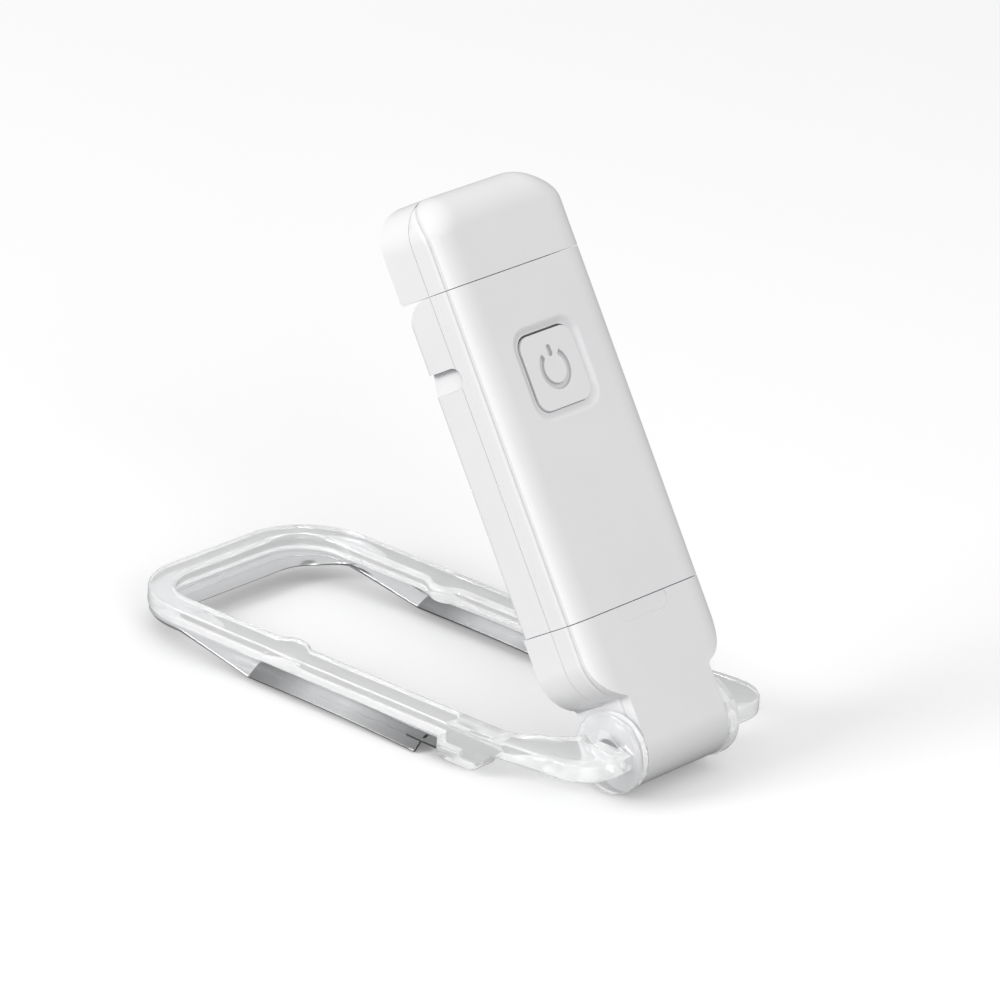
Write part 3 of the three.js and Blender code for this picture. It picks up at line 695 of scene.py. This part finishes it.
def rear_shell():
    front = MIDDLE_SEAM + HALF_LINE
    section = [(-HALF, front), (HALF, front)]
    section += arc(HALF - REAR_EDGE, REAR - REAR_EDGE, REAR_EDGE, 0, 90, 6)
    section += arc(REAR_EDGE - HALF, REAR - REAR_EDGE, REAR_EDGE, 90, 180, 6)
    shell = prism(section, across_z, LAMP_BOTTOM, LAMP_TOP)
    trim(shell, prism(lamp_side_profile(LAMP_BOTTOM, LAMP_TOP), across_x, -FAR, FAR))
    slot = block(
        -DRUM_HALF - DRUM_GAP, DRUM_HALF + DRUM_GAP, MIDDLE_SEAM - 1, FAR,
        TILT_Z - ARM_REAR + TILT_Y - DRUM_GAP, FAR * 2)
    carve(shell, hollow_tool(), plug_hole_tool(), drum_space_tool(), notch_tool(-1), notch_tool(1), slot)
    for side in (-1, 1):
        near = DRUM_HALF + 0.8 if side > 0 else -DRUM_HALF - 3
        fuse(shell, block(near, near + 2.2, TILT_Y - 1.7, REAR - 0.9, TILT_Z - 2.2, TILT_Z + 2.3))
    carve(shell, rod(1.15, -DRUM_HALF - 3.6, DRUM_HALF + 3.6, TILT_Y, TILT_Z, 32))
    return finish_piece(
        shell, "lamp_rear_shell", LAMP, "lamp", shell_white, ["rear_shell"],
        edges=0.06, segments=2)


def power_symbol_tools(top):
    """Cuts a ring that is open at the top and a short bar, with sloping walls."""
    radius = 2.46
    opening = 37
    z = BUTTON_Z
    rings = []
    bars = []
    for half_width, y in ((0.41, top - 0.02), (0.34, top + 0.5)):
        outer = arc(0, z, radius + half_width, 90 + opening, 450 - opening, 56)
        inner = arc(0, z, radius - half_width, 450 - opening, 90 + opening, 56)
        rings.append(across_y(outer + inner, y))
        bars.append(across_y(rounded(-half_width, half_width, z + 1.75, z + 3.3, half_width * 0.9, 5), y))
    return skin(rings), skin(bars)


def power_button():
    top = button_lo.y
    cap = prism(square(10.5, 2.0, BUTTON_Z), across_y, top, -3.1)
    rim = prism(square(12.3, 2.0, BUTTON_Z), across_y, -3.75, -3.1)
    fuse(cap, rim)
    carve(cap, *power_symbol_tools(top))
    return finish_piece(
        cap, "power_button_cap", LAMP, "button", button_white, ["power_button"],
        edges=0.14, angle=40)


# ---------------------------------------------------------------- head


def eased(value):
    value = min(max(value, 0.0), 1.0)
    return value * value * (3 - 2 * value)


def head_half(inset_at):
    """Right half of the head's outline as (x, z, turn round the corner), drawn in by a given amount."""
    corner = HEAD_CORNER
    points = [(HALF - inset_at(0.0), z, 0.0) for z in (TILT_Z, 69.5, SWEEP_Z, 71.2)]
    for i in range(29):
        turn = 90 * i / 28
        x, z = arc(HALF - corner, HEAD_TOP - corner, corner - inset_at(turn), turn, turn, 1)[0]
        points.append((x, z, turn))
    return points


def head_outline(inset=0.0):
    """Outline of the head from its lower right corner over the top to its lower left one."""
    right = [(x, z) for x, z, _ in head_half(lambda turn: inset)]
    return right + [(-x, z) for x, z in reversed(right)]


def head_front_block():
    """The head's front: a low crown along the sides that grows into the round brow at the top."""
    rings = []
    steps = 16
    for step in range(steps + 1):
        share = 1 - step / steps
        swing = 0.5 * math.pi * share

        def inset_at(turn):
            weight = eased(turn / 90)
            return (1 - weight) * CROWN_WIDE * share + weight * HEAD_BROW * (1 - math.cos(swing))

        def front_at(turn):
            weight = eased(turn / 90)
            crown = CROWN_FALL * (1 - share) ** CROWN_POWER
            return FRONT + (1 - weight) * crown + weight * HEAD_BROW * (1 - math.sin(swing))

        right = [(x, front_at(turn), z) for x, z, turn in head_half(inset_at)]
        rings.append(right + [(-x, y, z) for x, y, z in reversed(right)])
    rings.append(across_y(head_outline(), 3))
    return skin(rings)


def head_cut(z):
    """Rear edge of the head's front cover: straight up the side, then sweeping back over the top."""
    share = max(0.0, (z - SWEEP_Z) / (HEAD_TOP - SWEEP_Z))
    return COVER_SEAM + SWEEP * share * share


def behind_the_cut():
    """All of the head behind the front cover, drawn in along the cover's edge."""
    rings = [
        [(x, head_cut(z) + HALF_LINE + depth, z) for x, z in head_outline(inset)]
        for inset, depth in tuck_steps()]
    rings.append([(x, HEAD_REAR + 1, z) for x, z in head_outline()])
    count = len(rings[0])
    points = [point for ring in rings for point in ring]
    faces = []
    for step in range(len(rings) - 1):
        here = step * count
        for i in range(count):
            j = (i + 1) % count
            faces.append((here + i, here + j, here + count + j, here + count + i))
    for first in (0, (len(rings) - 1) * count):
        last = first + count - 1
        faces += [(first + i, first + i + 1, last - i - 1, last - i) for i in range(count // 2 - 1)]
    return clean(new_piece("tool", points, faces))


def head_profile():
    bottom = HEAD_SEAM + HALF_SEAM
    top = HEAD_TOP + 0.01
    rear = HEAD_REAR
    front = FRONT - 0.01
    return [
        (front, bottom),
        *arc(rear - 0.5, bottom + 0.5, 0.5, -90, 0, 5),
        *arc(rear - 0.9, top - 0.9, 0.9, 0, 90, 8),
        *arc(front + HEAD_BROW, top - HEAD_BROW, HEAD_BROW, 90, 180, 28),
    ]


def head_hollow_tool():
    outline = rounded(
        WALL - HALF, HALF - WALL, HEAD_SEAM + HALF_SEAM + WALL, HEAD_TOP - WALL, HEAD_CORNER - WALL)
    return prism(outline, across_y, FRONT + 2.4, HEAD_REAR - 1.3)


def head_shells():
    sweep = [SWEEP_Z + (HEAD_TOP - SWEEP_Z) * i / 14 for i in range(15)]
    levels = [TILT_Z - 1] + sweep + [HEAD_TOP + 1]
    cut = [(head_cut(z) - HALF_LINE, z) for z in levels]
    for node in ("head_front_cover", "head_mid_housing", "head_rear_housing"):
        if node == "head_front_cover":
            shell = head_front_block()
            before_cut = prism(
                [(FRONT - 2, TILT_Z - 1), *cut, (FRONT - 2, HEAD_TOP + 1)], across_x, -FAR, FAR)
            trim(shell, before_cut, block(-FAR, FAR, -FAR, FAR, HEAD_SEAM + HALF_SEAM, 2 * FAR))
        elif node == "head_mid_housing":
            shell = behind_the_cut()
            trim(shell, block(-FAR, FAR, -FAR, MIDDLE_SEAM - HALF_LINE, 0, 2 * FAR))
        else:
            shell = prism(head_outline(), across_y, MIDDLE_SEAM + HALF_LINE, HEAD_REAR + 1)
        if node != "head_front_cover":
            trim(shell, prism(head_profile(), across_x, -FAR, FAR))
        carve(shell, head_hollow_tool())
        if node == "head_rear_housing":
            carve(shell, prism(rounded(-9.5, 9.5, 68.0, 75.0, 1.5), across_y, 2, FAR))
            fuse(
                shell,
                block(-DRUM_HALF, DRUM_HALF, MIDDLE_SEAM + HALF_LINE, ARM_REAR, TILT_Z, HEAD_SEAM + 1),
                rod(DRUM_RADIUS, -DRUM_HALF, DRUM_HALF, TILT_Y, TILT_Z),
            )
            carve(shell, rod(1.15, -DRUM_HALF - 1, DRUM_HALF + 1, TILT_Y, TILT_Z, 32))
        edge = 0.18 if node == "head_front_cover" else 0.06
        finish_piece(
            shell, node + "_shell", LAMP, "head", shell_white, [node],
            edges=edge, segments=2)


def head_lens():
    pane = prism(rounded(-9.25, 9.25, 68.25, 74.75, 1.25), across_y, 3.4, lens_hi.y)
    fuse(pane, prism(rounded(-10.2, 10.2, 67.2, 75.2, 1.6), across_y, 3.0, HEAD_REAR - 1.6))
    return finish_piece(
        pane, "head_lens_pane", LAMP, "head", frosted_lens, ["head_lens"], edges=0.3)


# ---------------------------------------------------------------- base

SHOULDER_Z = 6.3
SHOULDER_CORNER = 6.4
TONGUE_HALF = 8.3
TONGUE_FILLET = 0.65
BARREL_DROP = 5.45


def base_outline(inset=0.0):
    """Outline of the base: round shoulders that meet a narrow tongue in a small fillet."""
    side = HALF + 0.01
    corner_x = side - SHOULDER_CORNER
    corner_z = SHOULDER_Z + SHOULDER_CORNER
    fillet_x = TONGUE_HALF + TONGUE_FILLET
    reach = SHOULDER_CORNER + TONGUE_FILLET
    turn = math.degrees(math.acos((fillet_x - corner_x) / reach))
    fillet_z = corner_z - reach * math.sin(math.radians(turn))
    right = [(TONGUE_HALF - inset, -FAR / 2)]
    right += arc(fillet_x, fillet_z, TONGUE_FILLET + inset, 180, 180 - turn, 10)
    right += arc(corner_x, corner_z, SHOULDER_CORNER - inset, -turn, 0, 24)
    right += [(side - inset, FAR)]
    return right + [(-x, z) for x, z in reversed(right)]


def base_block():
    """The outline carried from front to rear, drawn in just behind the front plate."""
    rings = [across_y(base_outline(), -FAR), across_y(base_outline(), COVER_SEAM - 0.02)]
    rings += [across_y(base_outline(inset), COVER_SEAM + depth) for inset, depth in tuck_steps()]
    rings.append(across_y(base_outline(), FAR))
    return skin(rings)


def base_profile():
    """Side profile of the base: straight walls over a half-round barrel."""
    middle = (FRONT + REAR) / 2
    half = (REAR - FRONT) / 2
    barrel = [(middle + half * a, BARREL_DROP * b) for a, b in arc(0, 0, 1, 180, 360, 48)]
    seam = BASE_SEAM - HALF_SEAM
    return [(FRONT - 0.01, seam), (FRONT - 0.01, 0.02), *barrel, (REAR, seam)]


def base_shells():
    thumb = rounded(-5.0, 5.0, 15.56, BASE_SEAM + 3, 1.5)
    for node, name in (("base_front_shell", "base_front"), ("base_rear_shell", "base_rear")):
        shell = crowned_bar(REAR + 1, -FAR / 4, BASE_SEAM + 1)
        trim(shell, base_block(), prism(base_profile(), across_x, -FAR, FAR))
        carve(
            shell,
            block(-7.2, 7.2, -3.3, 2.9, 5.6, FAR),
            prism(thumb, across_y, -FAR, FRONT + 0.1),
            rod(2.2, -FAR, FAR, 0, 0),
        )
        if node == "base_front_shell":
            carve(shell, block(-FAR, FAR, MIDDLE_SEAM - HALF_LINE, FAR, SHOULDER_Z - HALF_LINE, FAR))
        else:
            trim(shell, block(-FAR, FAR, MIDDLE_SEAM + HALF_LINE, FAR, SHOULDER_Z, FAR))
        finish_piece(shell, name, LAMP, "base", shell_white, [node], edges=0.16, segments=2)


# ---------------------------------------------------------------- clear clip frame

LOOP_HALF = loop_hi.x
LOOP_END = loop_hi.y
LOOP_WALL = 14.93  # inner face of a bar
LOOP_INNER_END = 78.4
LOOP_CORNER = 11.5
LOOP_INNER_CORNER = 6.5
BAR_TOP = 0.24
BAR_BOTTOM = -2.28
ARM_LIFT = 1.15
ARM_END = -4.3
ARM_CORNER = 5.5
ARM_THROAT = 7.3
THROAT_Y = 11.5
DISC_RADIUS = 5.7
DISC_INNER = 8.6
DISC_OUTER = 10.4
TAB_X = 17.3  # middle of the spring's tab and of the slot it plugs into
TAB_Z = -4.35


def walk(points, share):
    """The point at a share of the way along a line of points."""
    lengths = [math.dist(a, b) for a, b in zip(points, points[1:])]
    left = share * sum(lengths)
    for (a, b), length in zip(zip(points, points[1:]), lengths):
        if left <= length:
            t = left / length
            return (a[0] + t * (b[0] - a[0]), a[1] + t * (b[1] - a[1]))
        left -= length
    return points[-1]


def bump_reach(y):
    """How far a bar's inner face swells into the loop beside the bump."""
    t = (y - 52.0) / 3.1
    return 1.45 * (1 - t * t) ** 2 * (1 + t * t) if abs(t) < 1 else 0.0


def right_half_of_loop():
    """Matching points of the frame's outer and inner line, from the right disc to the far middle."""
    root = DISC_OUTER - 0.6
    throat_x = LOOP_WALL - ARM_THROAT
    turn = math.degrees(math.acos((root - throat_x) / ARM_THROAT))
    outer = [(root, ARM_END)]
    outer += arc(LOOP_HALF - ARM_CORNER, ARM_END + ARM_CORNER, ARM_CORNER, -90, 0, 24)
    outer += [(LOOP_HALF, THROAT_Y)]
    inner = arc(throat_x, THROAT_Y, ARM_THROAT, -turn, 0, 32)
    steps = 36
    pairs = [(walk(outer, i / steps), walk(inner, i / steps)) for i in range(steps + 1)]
    rows = 110
    last = LOOP_END - LOOP_CORNER
    for i in range(1, rows):
        y = THROAT_Y + (last - THROAT_Y) * i / rows
        pairs.append(((LOOP_HALF, y), (LOOP_WALL - bump_reach(y), y)))
    outer = arc(LOOP_HALF - LOOP_CORNER, last, LOOP_CORNER, 0, 90, 28)
    inner_x = LOOP_WALL - LOOP_INNER_CORNER
    inner = arc(inner_x, LOOP_INNER_END - LOOP_INNER_CORNER, LOOP_INNER_CORNER, 0, 90, 28)
    pairs += list(zip(outer, inner))
    pairs += [((x, LOOP_END), (x, LOOP_INNER_END)) for x in (5.0, 2.5)]
    return pairs


def bar_ring(outer, inner):
    """The rounded section of a bar between its outer and inner line."""
    reach = math.dist(outer, inner)
    across = ((outer[0] - inner[0]) / reach, (outer[1] - inner[1]) / reach)
    y = (outer[1] + inner[1]) / 2
    share = min(max((15.5 - y) / 11.0, 0.0), 1.0)
    lift = ARM_LIFT * share * share * (3 - 2 * share)
    draft = 0.45
    section = arc(reach - 0.32, -0.32, 0.32, 0, 90, 4)
    turns = [math.pi / 2 * i / 7 for i in range(8)]
    section += [(0.9 - 0.9 * math.sin(t), 0.7 * math.cos(t) - 0.7) for t in turns]
    depth = BAR_TOP - BAR_BOTTOM
    section += arc(draft + 0.4, 0.4 - depth, 0.4, 180, 270, 4)
    section += arc(reach - 0.5, 0.5 - depth, 0.5, 270, 360, 5)
    return [(inner[0] + a * across[0], inner[1] + a * across[1], BAR_TOP + lift + b) for a, b in section]


def boss_tool(side):
    """The lump under a bar that the spring's tab plugs into."""
    near, far = 14.3, 22.2
    lump = [
        (near - 2.6, BAR_BOTTOM + 0.7),
        (near - 0.9, BAR_BOTTOM - 0.6),
        *arc(near + 1.9, -4.1, 1.2, 180, 270, 6),
        *arc(far - 1.2, -4.1, 1.2, 270, 360, 6),
        (far, BAR_BOTTOM + 0.7),
    ]
    inner = side * (LOOP_WALL + 0.25)
    outer = side * (LOOP_HALF - 0.05)
    boss = prism(lump, across_x, min(inner, outer), max(inner, outer))
    round_edges(boss, 0.45, 4, 50)
    settle(boss)
    middle = side * TAB_X
    return carve(boss, block(middle - 1.4, middle + 1.4, 19.0, FAR, TAB_Z - 0.4, TAB_Z + 0.6))


def disc_tool(side):
    """A hinge disc with rounded rims, bored for the pin."""
    edge = 0.32
    outline = arc(DISC_OUTER - edge, DISC_RADIUS - edge, edge, 0, 90, 5)
    outline += arc(DISC_INNER + edge, DISC_RADIUS - edge, edge, 90, 180, 5)
    outline += [(DISC_INNER, 2.15), (DISC_OUTER, 2.15)]
    sides = 96
    rings = []
    for i in range(sides):
        turn = 2 * math.pi * i / sides
        rings.append([(side * x, r * math.cos(turn), r * math.sin(turn)) for x, r in outline])
    return skin(rings, looped=True)


def clip_frame():
    half = right_half_of_loop()
    mirrored = [((-a[0], a[1]), (-b[0], b[1])) for a, b in reversed(half)]
    middle = [((0.0, LOOP_END), (0.0, LOOP_INNER_END))]
    loop = skin([bar_ring(outer, inner) for outer, inner in half + middle + mirrored])
    for side in (-1, 1):
        fuse(loop, disc_tool(side), boss_tool(side))
    carve(loop, rod(2.15, -DISC_OUTER, DISC_OUTER, 0, 0))
    return finish_piece(
        loop, "clear_clip_frame", CLIP, "clip", clear_frame, ["clip_frame"], edges=0)


# ---------------------------------------------------------------- sprung steel jaw

SHEET = 0.45
JAW_OUTER = 19.5
JAW_INNER = 15.1
JAW_TOP = -2.45
LEG_END = 26.0
FOLD_Y = 56.5
RAMP_Y = 69.5


def right_half_of_jaw():
    """Rows across the sheet: outer point, inner point, rise of its arch and fall of its inner lip."""
    rows = []
    for share in [i / 30 for i in range(30)] + [0.995, 1.0]:
        y = LEG_END + (FOLD_Y - LEG_END) * share
        bow = 0.25 * math.sin(math.pi * share)
        outer_z = -5.8 + 0.6 * share + bow
        inner_z = -5.3 + 0.6 * share + bow
        rows.append(((JAW_OUTER, y, outer_z), (JAW_INNER, y, inner_z), 1.5 - 0.35 * share, 0.0))
    for share in [0.012] + [i / 14 for i in range(1, 15)]:
        y = FOLD_Y + (RAMP_Y - FOLD_Y) * share
        outer_z = -5.2 + (5.2 + JAW_TOP) * share
        inner_z = -4.7 + (4.7 + JAW_TOP) * share
        rows.append(((JAW_OUTER, y, outer_z), (JAW_INNER, y, inner_z), 1.15 * (1 - share) ** 0.7, 0.0))
    corner = LOOP_CORNER - 0.17
    end = LOOP_END - 0.25
    inner_end = 75.7
    inner_corner = 7.0
    for i in range(25):
        turn = 90 * i / 24
        outer = arc(JAW_OUTER - corner, end - corner, corner, turn, turn, 1)[0]
        inner = arc(JAW_INNER - inner_corner, inner_end - inner_corner, inner_corner, turn, turn, 1)[0]
        if outer[1] > RAMP_Y + 0.3:
            rows.append(((*outer, JAW_TOP), (*inner, JAW_TOP), 0.0, eased(turn / 50)))
    rows += [((x, end, JAW_TOP), (x, inner_end, JAW_TOP), 0.0, 1.0) for x in (5.0, 2.5)]
    return rows


def sheet_row(outer, inner, rise, lip):
    """Points across the sheet, arched on the legs and rolled down at the crossbar's edges."""
    points = []
    count = 18
    arch_top = math.hypot(1, 0.25)
    for i in range(count + 1):
        share = i / count
        x, y, z = (a + (b - a) * share for a, b in zip(outer, inner))
        z += rise * (arch_top - math.hypot(2 * share - 1, 0.25)) / (arch_top - 0.25)
        z -= lip * 0.55 * max(0.0, 1 - share / 0.14) ** 2
        z -= lip * 1.05 * max(0.0, (share - 0.78) / 0.22) ** 1.8
        points.append((x, y, z))
    return points


def spring_jaw():
    half = right_half_of_jaw()
    mirrored = [((-a[0], *a[1:]), (-b[0], *b[1:]), rise, lip) for a, b, rise, lip in reversed(half)]
    middle = [((0.0, *half[-1][0][1:]), (0.0, *half[-1][1][1:]), 0.0, 1.0)]
    rows = [sheet_row(*row) for row in half + middle + mirrored]
    count = len(rows[0])
    points = [point for row in rows for point in row]
    faces = []
    for r in range(len(rows) - 1):
        for i in range(count - 1):
            here = r * count + i
            faces.append((here, here + 1, here + count + 1, here + count))
    for side in (-1, 1):
        start = len(points)
        strip = [(19.4, TAB_Z), (23.0, TAB_Z), (26.5, -4.34), (28.5, -4.3)]
        for y, z in strip:
            points += [(side * TAB_X - 1.1, y, z), (side * TAB_X + 1.1, y, z)]
        for i in range(len(strip) - 1):
            here = start + 2 * i
            faces.append((here, here + 1, here + 3, here + 2))
    jaw = new_piece("spring_steel_jaw", points, faces)
    work = bmesh.new()
    work.from_mesh(jaw.data)
    bmesh.ops.remove_doubles(work, verts=work.verts, dist=0.001)
    bmesh.ops.recalc_face_normals(work, faces=work.faces)
    for face in work.faces:
        if face.normal.z < 0:
            face.normal_flip()
    work.to_mesh(jaw.data)
    work.free()
    solid = jaw.modifiers.new("sheet", "SOLIDIFY")
    solid.thickness = SHEET
    solid.offset = -1
    solid.use_even_offset = True
    settle(jaw)
    return finish_piece(
        jaw, "spring_steel_jaw", CLIP, "jaw", spring_steel, ["spring_clip"],
        edges=0.07, angle=50)


# ---------------------------------------------------------------- inner parts kept from the CAD

INNER_FINISHES = {
    "hinge_pin": plated_steel,
    "tilt_pin": plated_steel,
    "friction_washer_left": plated_steel,
    "friction_washer_right": plated_steel,
    "usb_shell": plated_steel,
    "usb_tongue": socket_white,
    "usb_contact_1": gold_flash,
    "usb_contact_2": gold_flash,
    "usb_contact_3": gold_flash,
    "usb_contact_4": gold_flash,
    "plug_pocket_liner": pale_silicone,
    "button_ring": pale_silicone,
    "main_board": green_board,
    "tact_switch": black_package,
    "charge_controller": black_package,
    "power_inductor": black_package,
    "status_led": phosphor,
    "battery_cell": battery_foil,
    "battery_lead_left": lead_red,
    "battery_lead_right": lead_red,
    "led_board": pale_board,
    "led_1": phosphor,
    "led_2": phosphor,
    "led_3": phosphor,
    "led_reflector": reflector_white,
}


def dress_inner_parts():
    for node, material in INNER_FINISHES.items():
        part = frame["nodes"][node]
        part.data.materials.clear()
        part.data.materials.append(material)
        round_edges(part, 0.06 * MM, 2, 40)


# ---------------------------------------------------------------- stage, light and camera


def studio_floor():
    """Pale paper, brighter as it is seen than in the light it throws back onto the object."""
    size = 4.0
    corners = [(-size, -size, 0), (size, -size, 0), (size, size, 0), (-size, size, 0)]
    floor = new_piece("studio_floor", corners, [(0, 1, 2, 3)])
    material, tree, shader = start_material("studio_paper", Roughness=0.9, Specular_IOR_Level=0.1)
    shader.inputs["Emission Strength"].default_value = 0.11
    seen = add(tree, "ShaderNodeLightPath").outputs["Is Camera Ray"]
    tree.links.new(seen, shader.inputs["Emission Color"])
    where = add(tree, "ShaderNodeTexCoord").outputs["Object"]
    paper = mixed(tree, noise(tree, where, 3.0), (0.94, 0.94, 0.94, 1), (0.92, 0.92, 0.92, 1))
    tone = mixed(tree, seen, (0.25, 0.25, 0.25, 1), paper)
    tree.links.new(tone, shader.inputs["Base Color"])
    floor.data.materials.append(material)


def studio_world():
    """A pale room, brighter overhead and darker towards the horizon."""
    world = bpy.data.worlds.new("studio_room")
    bpy.context.scene.world = world
    world.use_nodes = True
    tree = world.node_tree
    background = tree.nodes["Background"]
    background.inputs["Strength"].default_value = 0.7
    where = add(tree, "ShaderNodeTexCoord").outputs["Generated"]
    parts = add(tree, "ShaderNodeSeparateXYZ")
    tree.links.new(where, parts.inputs[0])
    ramp = add(tree, "ShaderNodeValToRGB")
    ramp.color_ramp.elements[0].position = 0.0
    ramp.color_ramp.elements[0].color = (0.72, 0.72, 0.73, 1)
    ramp.color_ramp.elements[1].position = 0.75
    ramp.color_ramp.elements[1].color = (1, 1, 1, 1)
    tree.links.new(parts.outputs["Z"], ramp.inputs[0])
    tree.links.new(ramp.outputs[0], background.inputs["Color"])


def soft_light(name, towards, distance, size, power):
    """A square soft light that looks at the middle of the object."""
    data = bpy.data.lights.new(name, "AREA")
    data.size = size
    data.energy = power
    light = bpy.data.objects.new(name, data)
    direction = Vector(towards).normalized()
    light.location = (cad_lo + cad_hi) / 2 + direction * distance
    light.rotation_mode = "QUATERNION"
    light.rotation_quaternion = direction.to_track_quat("Z", "Y")
    bpy.context.scene.collection.objects.link(light)


def studio_camera():
    azimuth = math.radians(-50.172)
    elevation = math.radians(22.675)
    roll = math.radians(3.738)
    distance = 0.9967
    aside = Vector((-2.36, -10.13, -5.0)) * MM  # aim point from the middle of the object
    back = Vector(
        (math.sin(azimuth) * math.cos(elevation),
         -math.cos(azimuth) * math.cos(elevation),
         math.sin(elevation)))
    level = Vector((math.cos(azimuth), math.sin(azimuth), 0))
    rise = back.cross(level)
    right = math.cos(roll) * level + math.sin(roll) * rise
    up = math.cos(roll) * rise - math.sin(roll) * level
    data = bpy.data.cameras.new("camera")
    data.lens = 267.0
    data.sensor_width = 36.0
    camera = bpy.data.objects.new("camera", data)
    turn = Matrix((right, up, back)).transposed().to_4x4()
    camera.matrix_world = Matrix.Translation((cad_lo + cad_hi) / 2 + aside + back * distance) @ turn
    bpy.context.scene.collection.objects.link(camera)
    bpy.context.scene.camera = camera


front_cover()
mid_housing()
rear_shell()
power_button()
head_shells()
head_lens()
base_shells()
clip_frame()
spring_jaw()
dress_inner_parts()

studio_floor()
studio_world()
soft_light("front_fill", (-0.45, -0.85, 0.4), 1.2, 0.6, 4.7)
soft_light("left_key", (-0.85, 0.35, 0.42), 1.3, 0.5, 9.0)
studio_camera()
bpy.context.scene.view_settings.view_transform = "Standard"
